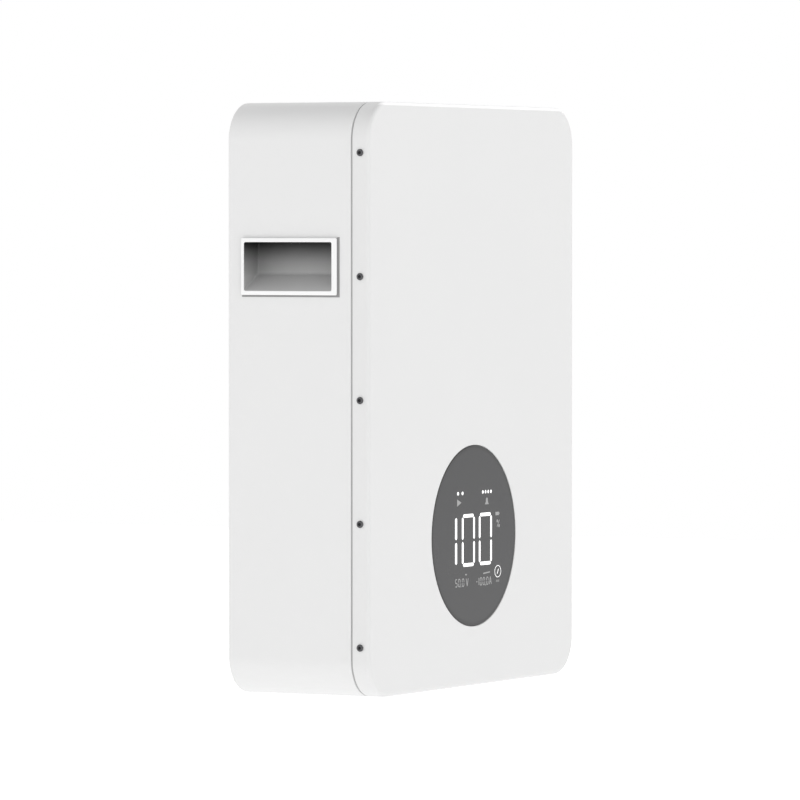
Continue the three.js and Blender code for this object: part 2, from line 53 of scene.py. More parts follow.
caseWidth = shellHigh.x - shellLow.x
caseHeight = shellHigh.z - shellLow.z
caseDepth = shellHigh.y - frontY
sideX = caseWidth / 2
lensCentre = Vector((0, lensLow.y, (lensLow.z + lensHigh.z) / 2))
lensRadius = (lensHigh.x - lensLow.x) / 2
print("frame loaded:", len(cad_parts), "nodes")


def middleOf(name):  # of a node's box
    return sum(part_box(name), Vector()) / 2


# ---- camera and light
camera = {
    "lens": 286.07,  # on a 36 mm sensor
    "turn": math.radians(61.782),  # from straight ahead towards the left side
    "rise": math.radians(1.55),
    "distance": 6409.8 * mm,
    "aimBehindFront": 80 * mm,
    "aimHeight": 285.4 * mm,
    "aimAside": -3.954 * mm,
}
light = {
    "skyHorizon": "#FFFFFF",
    "skyFrom": 0.7,  # sine of the height where the sky begins to darken
    "skyTop": 0.0,  # strength straight up, against 1 at the horizon
    "floorDrop": 8000 * mm,  # below the case
    "floorHalf": 150,
    "floorGlow": 0.46,
    "lamps": {  # place, size and power
        "keyLight": (Vector((-2.6, -2.4, 1.2)), 2.4, 6),
        "edgeLight": (Vector((5.3, -1.2, 2.6)), 3.0, 48),  # far to the right, it draws the upper front bend
    },
}


def hexToLinear(code, alpha=1.0):
    channels = [int(code[i:i + 2], 16) / 255 for i in (1, 3, 5)]
    linear = [c / 12.92 if c <= 0.04045 else ((c + 0.055) / 1.055) ** 2.4 for c in channels]
    return (*linear, alpha)


def setInputs(tree, node, inputs):  # sockets are linked, nodes by their first output, and the rest is set
    for name, value in inputs.items():
        if isinstance(value, bpy.types.Node):
            value = value.outputs[0]
        if isinstance(value, bpy.types.NodeSocket):
            tree.links.new(value, node.inputs[name])
        else:
            node.inputs[name].default_value = value


def addNode(tree, kind, settings=None, inputs=None):
    node = tree.nodes.new(kind)
    for name, value in (settings or {}).items():
        setattr(node, name, value)
    setInputs(tree, node, inputs or {})
    return node


def makeCamera():
    turn, rise = camera["turn"], camera["rise"]
    back = Vector((-math.sin(turn) * math.cos(rise), -math.cos(turn) * math.cos(rise), math.sin(rise)))
    right = Vector((math.cos(turn), -math.sin(turn), 0))
    aim = Vector((0, frontY + camera["aimBehindFront"], bottomZ + camera["aimHeight"]))
    aim += right * camera["aimAside"]
    data = bpy.data.cameras.new("camera")
    data.sensor_width = 36
    data.lens = camera["lens"]
    data.clip_start, data.clip_end = 0.1, 400
    obj = bpy.data.objects.new("camera", data)
    obj.location = aim + back * camera["distance"]
    obj.rotation_mode = "QUATERNION"
    obj.rotation_quaternion = (-back).to_track_quat("-Z", "Y")
    bpy.context.scene.collection.objects.link(obj)
    bpy.context.scene.camera = obj


def makeWorld():  # an even white sky that darkens overhead
    world = bpy.data.worlds.new("studio")
    bpy.context.scene.world = world
    world.use_nodes = True
    tree = world.node_tree
    tree.nodes.clear()
    coords = addNode(tree, "ShaderNodeTexCoord")
    split = addNode(tree, "ShaderNodeSeparateXYZ", None, {"Vector": coords.outputs["Generated"]})
    fade = addNode(tree, "ShaderNodeMapRange", {"interpolation_type": "SMOOTHSTEP"}, {
        "Value": split.outputs["Z"], "From Min": light["skyFrom"], "From Max": 1.0,
        "To Min": 1.0, "To Max": light["skyTop"]})
    sky = addNode(tree, "ShaderNodeBackground", None, {
        "Color": hexToLinear(light["skyHorizon"]), "Strength": fade})
    addNode(tree, "ShaderNodeOutputWorld", None, {"Surface": sky})


def makeFloor():
    size, z = light["floorHalf"], bottomZ - light["floorDrop"]
    mesh = bpy.data.meshes.new("floor")
    corners = [(-size, -size, z), (size, -size, z), (size, size, z), (-size, size, z)]
    mesh.from_pydata(corners, [], [(0, 1, 2, 3)])
    floor = bpy.data.objects.new("floor", mesh)
    bpy.context.scene.collection.objects.link(floor)
    material, tree, bsdf, place = newFinish("paintedStudioFloor")  # matt white paint, a little self-lit
    clouds = addNode(tree, "ShaderNodeTexNoise", None, {"Vector": place, "Scale": 0.6, "Detail": 2.0})
    tone = addNode(tree, "ShaderNodeMix", {"data_type": "RGBA"}, {
        0: clouds, 6: hexToLinear("#F4F4F3"), 7: hexToLinear("#F8F8F8")})
    setInputs(tree, bsdf, {"Base Color": tone.outputs[2], "Roughness": 0.9,
                           "Emission Color": hexToLinear("#FFFFFF"), "Emission Strength": light["floorGlow"]})
    mesh.materials.append(material)


def makeLights():
    for name, (place, size, power) in light["lamps"].items():
        data = bpy.data.lights.new(name, "AREA")
        data.shape = "DISK"
        data.size = size
        data.energy = power
        obj = bpy.data.objects.new(name, data)
        obj.location = place
        obj.rotation_mode = "QUATERNION"
        obj.rotation_quaternion = (-place).to_track_quat("-Z", "Y")
        bpy.context.scene.collection.objects.link(obj)


def newFinish(name):
    material = bpy.data.materials.new(name)
    material.use_nodes = True
    tree = material.node_tree
    coords = addNode(tree, "ShaderNodeTexCoord")
    return material, tree, tree.nodes["Principled BSDF"], coords.outputs["Object"]


makeCamera()
makeWorld()
makeFloor()
makeLights()
bpy.context.scene.view_settings.view_transform = "Standard"
print("camera, sky, floor and light made")


# ---- finishes
def perMetre(size):  # noise scale whose features are about that many metres across
    return 0.5 / size


def powderCoat(name, shade, tint, paintedHighlightBand=None):  # polyester powder coat: satin, with a faint orange peel
    material, tree, bsdf, place = newFinish(name)
    clouds = addNode(tree, "ShaderNodeTexNoise", None, {
        "Vector": place, "Scale": perMetre(60 * mm), "Detail": 2.0, "Roughness": 0.5})
    tone = addNode(tree, "ShaderNodeMix", {"data_type": "RGBA"}, {
        0: clouds, 6: hexToLinear(shade), 7: hexToLinear(tint)})
    peel = addNode(tree, "ShaderNodeTexNoise", None, {
        "Vector": place, "Scale": perMetre(1.6 * mm), "Detail": 3.0, "Roughness": 0.55})
    bump = addNode(tree, "ShaderNodeBump", None, {"Height": peel, "Strength": 0.12, "Distance": 0.05 * mm})
    gloss = addNode(tree, "ShaderNodeMapRange", None, {"Value": peel, "To Min": 0.34, "To Max": 0.42})
    if paintedHighlightBand:  # painted highlight: the colour goes to white along the upper front bend, in place of light catching it
        split = addNode(tree, "ShaderNodeSeparateXYZ", None, {"Vector": place})
        up = addNode(tree, "ShaderNodeMapRange", None, {
            "Value": split.outputs["Z"], "From Min": paintedHighlightBand[1] - 3.8 * mm, "From Max": paintedHighlightBand[1] - 2.4 * mm})
        near = addNode(tree, "ShaderNodeMapRange", None, {
            "Value": split.outputs["Y"], "From Min": paintedHighlightBand[0] + 3.6 * mm, "From Max": paintedHighlightBand[0] + 2.8 * mm})
        share = addNode(tree, "ShaderNodeMath", {"operation": "MULTIPLY"}, {0: up, 1: near})
        tone = addNode(tree, "ShaderNodeMix", {"data_type": "RGBA"}, {
            0: share, 6: tone.outputs[2], 7: hexToLinear("#FFFFFF")})
    setInputs(tree, bsdf, {"Base Color": tone.outputs[2], "Roughness": gloss, "Normal": bump, "IOR": 1.5})
    return material


# plastic from a spark-eroded mould: a fine even grain
def mouldedPlastic(name, shade, grain=0.5 * mm, strength=0.12, roughness=0.45, wear=None):
    material, tree, bsdf, place = newFinish(name)
    grains = addNode(tree, "ShaderNodeTexVoronoi", {"feature": "SMOOTH_F1"}, {
        "Vector": place, "Scale": 1 / grain, "Smoothness": 0.6})
    clouds = addNode(tree, "ShaderNodeTexNoise", None, {
        "Vector": place, "Scale": perMetre(18 * mm), "Detail": 3.0})
    tone = addNode(tree, "ShaderNodeMix", {"data_type": "RGBA"}, {
        0: clouds, 6: hexToLinear(shade), 7: hexToLinear(wear or shade)})
    bump = addNode(tree, "ShaderNodeBump", None, {
        "Height": grains, "Strength": strength, "Distance": 0.04 * mm})
    gloss = addNode(tree, "ShaderNodeMapRange", None, {
        "Value": clouds, "To Min": roughness - 0.05, "To Max": roughness + 0.05})
    setInputs(tree, bsdf, {"Base Color": tone.outputs[2], "Roughness": gloss, "Normal": bump, "IOR": 1.53})
    return material


# plated or coated metal: faint crystals, each with its own shine
def coatedMetal(name, shade, tint, roughness, spangle=8 * mm, metallic=1.0):
    material, tree, bsdf, place = newFinish(name)
    plates = addNode(tree, "ShaderNodeTexVoronoi", None, {"Vector": place, "Scale": 1 / spangle})
    streaks = addNode(tree, "ShaderNodeTexNoise", None, {
        "Vector": place, "Scale": perMetre(1.2 * mm), "Detail": 2.0})
    tone = addNode(tree, "ShaderNodeMix", {"data_type": "RGBA"}, {
        0: plates, 6: hexToLinear(shade), 7: hexToLinear(tint)})
    gloss = addNode(tree, "ShaderNodeMapRange", None, {
        "Value": plates, "To Min": roughness - 0.06, "To Max": roughness + 0.08})
    bump = addNode(tree, "ShaderNodeBump", None, {"Height": streaks, "Strength": 0.1, "Distance": 0.03 * mm})
    setInputs(tree, bsdf, {
        "Base Color": tone.outputs[2], "Roughness": gloss, "Normal": bump, "Metallic": metallic})
    return material


def cupLiningPaintedShade(name, floorZ, paintedShadeTones, wallY):  # textured grey lining with painted shade: near black under its roof, lighter towards its floor, a little darker towards its end wall
    material, tree, bsdf, place = newFinish(name)
    split = addNode(tree, "ShaderNodeSeparateXYZ", None, {"Vector": place})
    shadeNoise = addNode(tree, "ShaderNodeTexNoise", None, {
        "Vector": place, "Scale": perMetre(14 * mm), "Detail": 2.0})
    wander = addNode(tree, "ShaderNodeMapRange", None, {
        "Value": shadeNoise, "To Min": -1.5 * mm, "To Max": 1.5 * mm})
    level = addNode(tree, "ShaderNodeMath", {"operation": "ADD"}, {0: split.outputs["Z"], 1: wander})
    top = paintedShadeTones[-1][0]
    share = addNode(tree, "ShaderNodeMapRange", None, {
        "Value": level, "From Min": floorZ, "From Max": floorZ + top})
    ramp = addNode(tree, "ShaderNodeValToRGB", None, {"Fac": share})
    stops = ramp.color_ramp.elements
    while len(stops) < len(paintedShadeTones):
        stops.new(0.5)
    for stop, (height, shade) in zip(stops, paintedShadeTones):
        stop.position = height / top
        stop.color = hexToLinear(shade)
    # painted shade: a little darker towards the end wall
    wallShade = addNode(tree, "ShaderNodeMapRange", None, {
        "Value": split.outputs["Y"], "From Min": wallY - 60 * mm, "From Max": wallY,
        "To Min": 1.0, "To Max": 0.86})
    tone = addNode(tree, "ShaderNodeVectorMath", {"operation": "SCALE"}, {0: ramp, "Scale": wallShade})
    grains = addNode(tree, "ShaderNodeTexVoronoi", {"feature": "SMOOTH_F1"}, {
        "Vector": place, "Scale": 1 / (0.8 * mm), "Smoothness": 0.6})
    bump = addNode(tree, "ShaderNodeBump", None, {"Height": grains, "Strength": 0.2, "Distance": 0.04 * mm})
    setInputs(tree, bsdf, {"Base Color": tone, "Roughness": 0.6, "Normal": bump})
    return material


def turnedSteel(name, shade, tint, ring, centre):  # satin turned face: fine rings round the axis
    material, tree, bsdf, place = newFinish(name)
    centred = addNode(tree, "ShaderNodeMapping", {"vector_type": "POINT"}, {
        "Vector": place, "Location": -centre})
    rings = addNode(tree, "ShaderNodeTexWave", {"wave_type": "RINGS", "rings_direction": "Z"}, {
        "Vector": centred, "Scale": 0.31 / ring, "Distortion": 0.4}).outputs["Fac"]
    bump = addNode(tree, "ShaderNodeBump", None, {"Height": rings, "Strength": 0.25, "Distance": 0.05 * mm})
    tone = addNode(tree, "ShaderNodeMix", {"data_type": "RGBA"}, {
        0: rings, 6: hexToLinear(shade), 7: hexToLinear(tint)})
    setInputs(tree, bsdf, {"Base Color": tone.outputs[2], "Roughness": 0.3, "Normal": bump, "Metallic": 1.0})
    return material


def tintedAcrylic(name, centre, radius):  # smooth gloss over near-black ink, darker towards the rim
    material, tree, bsdf, place = newFinish(name)
    reach = addNode(tree, "ShaderNodeVectorMath", {"operation": "DISTANCE"}, {0: place, 1: centre})
    rim = addNode(tree, "ShaderNodeMapRange", None, {
        "Value": reach.outputs["Value"], "From Min": radius - 5 * mm, "From Max": radius - 1.5 * mm})
    clouds = addNode(tree, "ShaderNodeTexNoise", None, {"Vector": place, "Scale": perMetre(40 * mm)})
    face = addNode(tree, "ShaderNodeMix", {"data_type": "RGBA"}, {
        0: clouds, 6: hexToLinear("#333335"), 7: hexToLinear("#373738")})
    tone = addNode(tree, "ShaderNodeMix", {"data_type": "RGBA"}, {
        0: rim, 6: face.outputs[2], 7: hexToLinear("#1F1F20")})
    setInputs(tree, bsdf, {"Base Color": tone.outputs[2], "Roughness": 0.14, "IOR": 1.49})
    return material


def ledGlow(name, shade, strength, base="#DCDCDC"):  # a lamp behind a diffuser: almost even
    material, tree, bsdf, place = newFinish(name)
    dots = addNode(tree, "ShaderNodeTexNoise", None, {"Vector": place, "Scale": perMetre(5 * mm)})
    level = addNode(tree, "ShaderNodeMapRange", None, {
        "Value": dots, "To Min": strength * 0.92, "To Max": strength * 1.06})
    setInputs(tree, bsdf, {"Base Color": hexToLinear(base), "Roughness": 0.3,
                           "Emission Color": hexToLinear(shade), "Emission Strength": level})
    return material


def fibreglassBoard(name):  # green solder mask over copper: glossy, with faint tracks
    material, tree, bsdf, place = newFinish(name)
    tracks = addNode(tree, "ShaderNodeTexBrick", None, {
        "Vector": place, "Scale": 1 / (40 * mm), "Mortar Size": 0.03, "Color1": hexToLinear("#17522F"),
        "Color2": hexToLinear("#1C5E38"), "Mortar": hexToLinear("#2F7A4C")})
    weave = addNode(tree, "ShaderNodeTexNoise", None, {"Vector": place, "Scale": perMetre(1 * mm)})
    bump = addNode(tree, "ShaderNodeBump", None, {"Height": weave, "Strength": 0.1, "Distance": 0.03 * mm})
    setInputs(tree, bsdf, {"Base Color": tracks, "Roughness": 0.3, "Normal": bump})
    return material


grip = {  # kept here because its lining's tones start from its floor
    "rim": 2.5 * mm,
    "seat": 0.3 * mm,  # gap behind the rim
    "band": 4.6 * mm,  # of rim ahead of and behind the opening, on average
    "sill": 4.1 * mm,  # and below and above it
    "rimLead": 1.3 * mm,  # the rim sits this much further forward
    "depth": 29 * mm,
    "rise": 16.4 * mm,
    "wall": 2 * mm,
    "clearance": 0.5 * mm,
    "cornerRadius": 1.6 * mm,
    "innerRadius": 3 * mm,
    "endRadius": 1.5 * mm,
    "edge": 0.5 * mm,
    "shadowStripShow": 1.9 * mm,  # of grey strip ahead of and below the rim, a painted shadow of the rim
    # the lining's colour by height above its floor: grey plastic with painted shade deepening to near black
    # under the roof
    "paintedShadeTones": [(0, "#C2C2C2"), (14 * mm, "#BABABA"), (17 * mm, "#AEAEAE"), (27.5 * mm, "#969696"),
              (42.5 * mm, "#444444"), (45.4 * mm, "#282828"), (46.4 * mm, "#080808"), (47.7 * mm, "#050505")],
}
finishes = {
    # the cover's coat below is the case's coat made a shade darker: painted shade that offsets the extra
    # light on the front
    "caseCoat": powderCoat("whitePowderCoat", "#E2E2E2", "#E4E4E4"),
    # the cover's coat carries a painted highlight along its upper front bend
    "coverCoat": powderCoat("whitePowderCoatCoverPaintedLight", "#E0E0E0", "#E2E2E2", (frontY, shellHigh.z)),
    "gripPlastic": mouldedPlastic("whiteMouldedAbs", "#F3F3F3", roughness=0.5),
    "gripInside": cupLiningPaintedShade("greyLiningPaintedShade", cupLow.z + grip["sill"], grip["paintedShadeTones"], cupHigh.y),
    "gasket": mouldedPlastic("siliconeFoamStrip", "#B4B4B4", 0.9 * mm, 0.3, 0.85, "#ACACAC"),
    # grey strip that stands for the shadow under and ahead of each grip's rim: painted shadow
    "gripShadowStrip": mouldedPlastic("greyStripPaintedShadow", "#989898", 0.9 * mm, 0.3, 0.8),
    "screw": coatedMetal("blackOxideSteel", "#58585A", "#626264", 0.42, 2 * mm, 0.85),
    # the same black steel made darker for the hex sockets: painted shade in the hollow
    "screwSocket": coatedMetal("blackSteelPaintedShade", "#2C2C2D", "#38383A", 0.5, 2 * mm, 0.85),
    "lens": tintedAcrylic("tintedAcrylic", lensCentre, lensRadius),
    "segments": ledGlow("litSegments", "#FFFFFF", 0.9),
    "dimSegments": ledGlow("dimLitSegments", "#FFFFFF", 0.24, "#5A5A5A"),
    "zinc": coatedMetal("galvanisedSteel", "#B0B4B7", "#BFC3C5", 0.38),
    "aluminium": coatedMetal("milledAluminium", "#C2C5C7", "#CDD0D1", 0.34, 3 * mm),
    "black": mouldedPlastic("blackPa66", "#1E1F20", 0.5 * mm, 0.2, 0.5, "#232425"),
    "orange": mouldedPlastic("orangePa66", "#E06A1E", 0.5 * mm, 0.2, 0.48, "#E4722A"),
    "grey": mouldedPlastic("greyPolyamide", "#C4C6C6", 0.5 * mm, 0.15, 0.5),
    "green": mouldedPlastic("greenPolyamide", "#2E8B4E", 0.5 * mm, 0.15, 0.5),
    "blue": mouldedPlastic("blueThermoplastic", "#1F4E9E", 0.4 * mm, 0.1, 0.4),
    "nickel": coatedMetal("nickelPlatedBrass", "#B9B6AC", "#C6C3BA", 0.28, 2 * mm),
    "satin": turnedSteel("satinTurnedSteel", "#B4B7B9", "#D0D2D3", 0.5 * mm, middleOf("power_button_collar")),
    "gold": coatedMetal("goldPlatedBronze", "#D8B45A", "#E2C06A", 0.25, 1 * mm),
    "greenLamp": ledGlow("greenLightPipe", "#3FD06A", 0.5, "#1F6B38"),
    "amberLamp": ledGlow("amberLightPipe", "#E8A33A", 0.4, "#8A5A18"),
    "white": mouldedPlastic("whiteAcetal", "#F0F0EE", 0.4 * mm, 0.1, 0.4),
    "board": fibreglassBoard("solderMaskBoard"),
    "film": mouldedPlastic("bluePetFilm", "#2A63B5", 3 * mm, 0.06, 0.3, "#2F69BC"),
}
print("finishes made:", len(finishes))


# ---- shaping tools
def circle(steps):  # angles round a full turn
    return [2 * math.pi * i / steps for i in range(steps)]


def hexagon(angle):  # how far a hexagon of unit inner radius reaches at an angle
    return 1 / math.cos((angle + math.pi / 6) % (math.pi / 3) - math.pi / 6)


def pointAbout(axis, u, v, along):  # u and v lie across the axis, in the order of x, y and z
    point = [u, v]
    point.insert("XYZ".index(axis), along)
    return Vector(point)


def span(x, y, halfX, halfY, low, high):  # corners of a box about an upright line
    return (x - halfX, y - halfY, low), (x + halfX, y + halfY, high)


def addLoops(bm, loops, capFirst=True, capLast=True, finishIndex=0):  # skin over loops of equal point count
    rings = [[bm.verts.new(point) for point in loop] for loop in loops]
    faces = []
    for a, b in zip(rings, rings[1:]):
        faces += [bm.faces.new(corners) for corners in zip(a, a[1:] + a[:1], b[1:] + b[:1], b)]
    if capFirst:
        faces.append(bm.faces.new(rings[0]))
    if capLast:
        faces.append(bm.faces.new(rings[-1]))
    for face in faces:
        face.material_index = finishIndex


def addBlock(bm, low, high, edge=0.0, steps=2, finishIndex=0):  # a block with rounded edges
    middle = (Vector(low) + Vector(high)) / 2
    size = Vector(high) - Vector(low)
    before = set(bm.faces)
    placed = Matrix.Translation(middle) @ Matrix.Diagonal((*size, 1))
    made = bmesh.ops.create_cube(bm, size=1.0, matrix=placed)
    if edge:
        edges = {e for v in made["verts"] for e in v.link_edges}
        bmesh.ops.bevel(bm, geom=list(edges), offset=min(edge, 0.45 * min(size)), segments=steps,
                        profile=0.5, affect="EDGES")
    for face in set(bm.faces) - before:
        face.material_index = finishIndex


def addTurned(bm, profile, centre, steps=32, axis="Z", finishIndex=0):  # profile points of radius and height
    loops = []
    for radius, height in profile:
        r = max(radius, 1e-6)  # a pole is a tiny ring, merged later
        loops.append([Vector(centre) + pointAbout(axis, r * math.cos(t), r * math.sin(t), height)
                      for t in circle(steps)])
    addLoops(bm, loops, profile[0][0] <= 0, profile[-1][0] <= 0, finishIndex)


def addRing(bm, profile, centre, steps, finishIndex=0):  # a turned ring whose profile closes on itself
    addTurned(bm, [*profile, profile[0]], centre, steps, "Z", finishIndex)


def sealed(bm):  # doubles merged and faces turned outwards
    bmesh.ops.remove_doubles(bm, verts=bm.verts, dist=1e-6)
    bmesh.ops.recalc_face_normals(bm, faces=bm.faces)
    return bm


def block(low, high, edge=0.0):
    bm = bmesh.new()
    addBlock(bm, low, high, edge)
    return sealed(bm)


def turned(profile, centre, steps=32, axis="Z"):
    bm = bmesh.new()
    addTurned(bm, profile, centre, steps, axis)
    return sealed(bm)


def roundedPoints(halfWide, halfHigh, radius, steps):  # a rounded rectangle about 0, 0
    points = []
    for cx, cy, start in ((1, 1, 0), (-1, 1, 1), (-1, -1, 2), (1, -1, 3)):
        for i in range(steps + 1):
            t = (start + i / steps) * math.pi / 2
            points.append((cx * (halfWide - radius) + radius * math.cos(t),
                           cy * (halfHigh - radius) + radius * math.sin(t)))
    return points


def prism(low, high, radius, axis="Z", steps=6):  # a closed block whose corners are rounded about one axis
    middle, half = (Vector(low) + Vector(high)) / 2, list((Vector(high) - Vector(low)) / 2)
    reach = half.pop("XYZ".index(axis))
    bm = bmesh.new()
    outline = roundedPoints(*half, radius, steps)
    addLoops(bm, [[middle + pointAbout(axis, u, v, end) for u, v in outline] for end in (-reach, reach)])
    return sealed(bm)


def asMesh(bm, name):
    mesh = bpy.data.meshes.new(name)
    bm.to_mesh(mesh)
    bm.free()
    return mesh


def finished(bm, name, materials, nodes=(), body="unit", crease=32):
    bmesh.ops.remove_doubles(bm, verts=bm.verts, dist=1e-6)
    bmesh.ops.dissolve_degenerate(bm, dist=1e-7, edges=bm.edges)
    bmesh.ops.recalc_face_normals(bm, faces=bm.faces)
    mesh = asMesh(bm, name)
    for material in materials:
        mesh.materials.append(finishes[material])
    for polygon in mesh.polygons:
        polygon.use_smooth = True
    mesh.set_sharp_from_angle(angle=math.radians(crease))
    obj = bpy.data.objects.new(name, mesh)
    bpy.context.scene.collection.objects.link(obj)
    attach(obj, body)
    if nodes:
        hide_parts(*nodes)
    print("made", name, len(mesh.polygons), "faces")


def merge(bm, other, finishIndex=0):  # takes another shape in, all in one finish
    for face in other.faces:
        face.material_index = finishIndex
    mesh = asMesh(other, "merged")
    bm.from_mesh(mesh)
    bpy.data.meshes.remove(mesh)


def cutBy(bm, cutters, joins=()):  # the shape with each closed join, less each closed cutter
    def holder(shape, name):
        obj = bpy.data.objects.new(name, asMesh(shape, name))
        bpy.context.scene.collection.objects.link(obj)
        return obj

    body = holder(bm, "cutBody")
    tools = []
    for shapes, operation in ((joins, "UNION"), (cutters, "DIFFERENCE")):
        for shape in shapes:
            tools.append(holder(shape, "cutTool"))
            cut = body.modifiers.new("cut", "BOOLEAN")
            cut.operation, cut.solver, cut.object = operation, "EXACT", tools[-1]
    shaped = bpy.data.meshes.new_from_object(body.evaluated_get(bpy.context.evaluated_depsgraph_get()))
    result = bmesh.new()
    result.from_mesh(shaped)
    for obj in (body, *tools):
        bpy.data.objects.remove(obj)
    bpy.data.meshes.remove(shaped)
    return result


# ---- the two trays of the case, swept round one outline
trays = {
    "cornerRadius": 38 * mm,
    "cornerSteps": 16,
    "sheet": 2 * mm,
    "coverEdge": 3.5 * mm,
    "shellEdge": 2.5 * mm,
    "hold": 0.8 * mm,  # a narrow flat strip beside each bend, which keeps its shading crisp
    "lip": 0.5 * mm,  # rounding of the free edges at the seam
    "nick": 0.2 * mm,
    "seamGap": 1.6 * mm,
    "collarInset": 2.5 * mm,
    "collarSheet": 1.6 * mm,
    "collarReach": 13.5 * mm,
    "collarRoot": 12 * mm,
    "faceInset": 12 * mm,  # where the swept edge hands over to the flat face
    "windowClearance": 0.4 * mm,
    "windowEdge": 0.35 * mm,
    "windowBand": 1.2 * mm,
    "windowSteps": 96,
    "stripGap": 0.3 * mm,
    "stripInset": (0.6 * mm, 2.2 * mm),
}
seamFront = coverHigh.y - frontY
seamBack = seamFront + trays["seamGap"]


def newTree(name, sockets):  # a Geometry Nodes tree from mesh to mesh, with its named inputs
    tree = bpy.data.node_groups.new(name, "GeometryNodeTree")
    tree.interface.new_socket(name="Geometry", in_out="INPUT", socket_type="NodeSocketGeometry")
    for label, kind in {**sockets, "Finish": "Material"}.items():
        tree.interface.new_socket(name=label, in_out="INPUT", socket_type="NodeSocket" + kind)
    tree.interface.new_socket(name="Geometry", in_out="OUTPUT", socket_type="NodeSocketGeometry")
    return tree, addNode(tree, "NodeGroupInput").outputs


def closeTree(tree, shape, finish):
    plain = addNode(tree, "GeometryNodeRealizeInstances", None, {"Geometry": shape})
    coated = addNode(tree, "GeometryNodeSetMaterial", None, {"Geometry": plain, "Material": finish})
    addNode(tree, "NodeGroupOutput", None, {"Geometry": coated})
    return tree


def trayTree():  # sweeps the section held by the object round a rounded rectangle
    tree, given = newTree("trayAlongOutline", {
        "Width": "Float", "Height": "Float", "Corner Radius": "Float", "Corner Steps": "Int",
        "Middle": "Vector"})
    outline = addNode(tree, "GeometryNodeCurvePrimitiveQuadrilateral", {"mode": "RECTANGLE"}, {
        "Width": given["Width"], "Height": given["Height"]})
    rounded = addNode(tree, "GeometryNodeFilletCurve", {"mode": "POLY"}, {
        "Curve": outline, "Radius": given["Corner Radius"], "Count": given["Corner Steps"]})
    section = addNode(tree, "GeometryNodeMeshToCurve", None, {"Mesh": given["Geometry"]})
    swept = addNode(tree, "GeometryNodeCurveToMesh", None, {"Curve": rounded, "Profile Curve": section})
    upright = addNode(tree, "GeometryNodeTransform", None, {
        "Geometry": swept, "Rotation": (math.radians(90), 0, 0), "Translation": given["Middle"]})
    return closeTree(tree, upright, given["Finish"])


def rowTree():  # copies of the object's mesh in a row, each turned by its own share of a turn
    tree, given = newTree("rowOfCopies", {
        "Count": "Int", "First": "Vector", "Step": "Vector", "Turn": "Vector"})
    line = addNode(tree, "GeometryNodeMeshLine", {"mode": "OFFSET"}, {
        "Count": given["Count"], "Start Location": given["First"], "Offset": given["Step"]})
    share = addNode(tree, "FunctionNodeRandomValue", {"data_type": "FLOAT"}, {2: 0.0, 3: 1.0, "Seed": 7})
    spin = addNode(tree, "ShaderNodeVectorMath", {"operation": "SCALE"}, {
        0: given["Turn"], "Scale": share.outputs[1]})
    placed = addNode(tree, "GeometryNodeInstanceOnPoints", None, {
        "Points": line, "Instance": given["Geometry"], "Rotation": spin})
    return closeTree(tree, placed, given["Finish"])


def throughTree(tree, source, values):  # runs a tree on a mesh and gives the plain result as a bmesh
    obj = bpy.data.objects.new("source", source)
    bpy.context.scene.collection.objects.link(obj)
    modifier = obj.modifiers.new("tree", "NODES")
    modifier.node_group = tree
    sockets = {item.name: item.identifier for item in tree.interface.items_tree
               if item.item_type == "SOCKET" and item.in_out == "INPUT"}
    for name, value in values.items():
        modifier[sockets[name]] = value
    made = bpy.data.meshes.new_from_object(obj.evaluated_get(bpy.context.evaluated_depsgraph_get()))
    bm = bmesh.new()
    bm.from_mesh(made)
    bpy.data.objects.remove(obj)
    bpy.data.meshes.remove(made)
    for face in bm.faces:
        face.material_index = 0
    return bm


outlineTree = trayTree()
copiesTree = rowTree()


def rowOf(bm, count, first, step, finish, turn=(0, 0, 0)):
    return throughTree(copiesTree, asMesh(bm, "oneOfRow"), {
        "Count": count, "First": first, "Step": step, "Turn": turn, "Finish": finishes[finish]})


def sweptTray(section, closed=False):  # section points of inset from the outline and depth behind the front
    mesh = bpy.data.meshes.new("section")
    links = [(i, i + 1) for i in range(len(section) - 1)] + ([(len(section) - 1, 0)] if closed else [])
    mesh.from_pydata([(-inset, depth, 0) for inset, depth in section], links, [])
    bm = throughTree(outlineTree, mesh, {
        "Width": caseWidth, "Height": caseHeight, "Corner Radius": trays["cornerRadius"],
        "Corner Steps": trays["cornerSteps"], "Middle": (0, frontY, bottomZ + caseHeight / 2),
        "Finish": finishes["caseCoat"]})
    bmesh.ops.remove_doubles(bm, verts=bm.verts, dist=1e-6)
    return bm


# an arc about a centre of inset and depth, where 0 points outwards and 90 points back
def bend(inset, depth, radius, fromAngle, toAngle, steps=5):
    angles = [math.radians(fromAngle + (toAngle - fromAngle) * i / steps) for i in range(steps + 1)]
    return [(inset - radius * math.cos(a), depth + radius * math.sin(a)) for a in angles]


def openEdges(bm, depth):  # rim edges that lie at one depth behind the front
    y = frontY + depth
    return [e for e in bm.edges if len(e.link_faces) < 2 and all(abs(v.co.y - y) < 1e-5 for v in e.verts)]


def frontCover():
    r, sheet, face, hold = (trays[key] for key in ("coverEdge", "sheet", "faceInset", "hold"))
    lip, nick = trays["lip"], trays["nick"]
    bm = sweptTray([
        (face, 0), (r + hold, 0), *bend(r, r, r, -90, 0), (0, r + hold), (0, seamFront - lip),
        (0.3 * lip, seamFront - 0.3 * lip), (lip, seamFront), (sheet - nick, seamFront),
        (sheet, seamFront - nick), (sheet, r + hold), *bend(r, r, r - sheet, 0, -90), (r + hold, sheet),
        (face, sheet)])
    bore, e, band = lensRadius + trays["windowClearance"], trays["windowEdge"], trays["windowBand"]
    addTurned(bm, [
        (bore + band, 0), (bore + e, 0), (bore + 0.3 * e, 0.3 * e), (bore, e), (bore, sheet - 0.5 * nick),
        (bore + 0.5 * nick, sheet), (bore + band, sheet)],
        (0, frontY, lensCentre.z), trays["windowSteps"], "Y")
    for depth in (0, sheet):
        bmesh.ops.triangle_fill(bm, edges=openEdges(bm, depth), use_beauty=True, use_dissolve=False)
    finished(bm, "frontCover", ["coverCoat"], ["front_cover"])


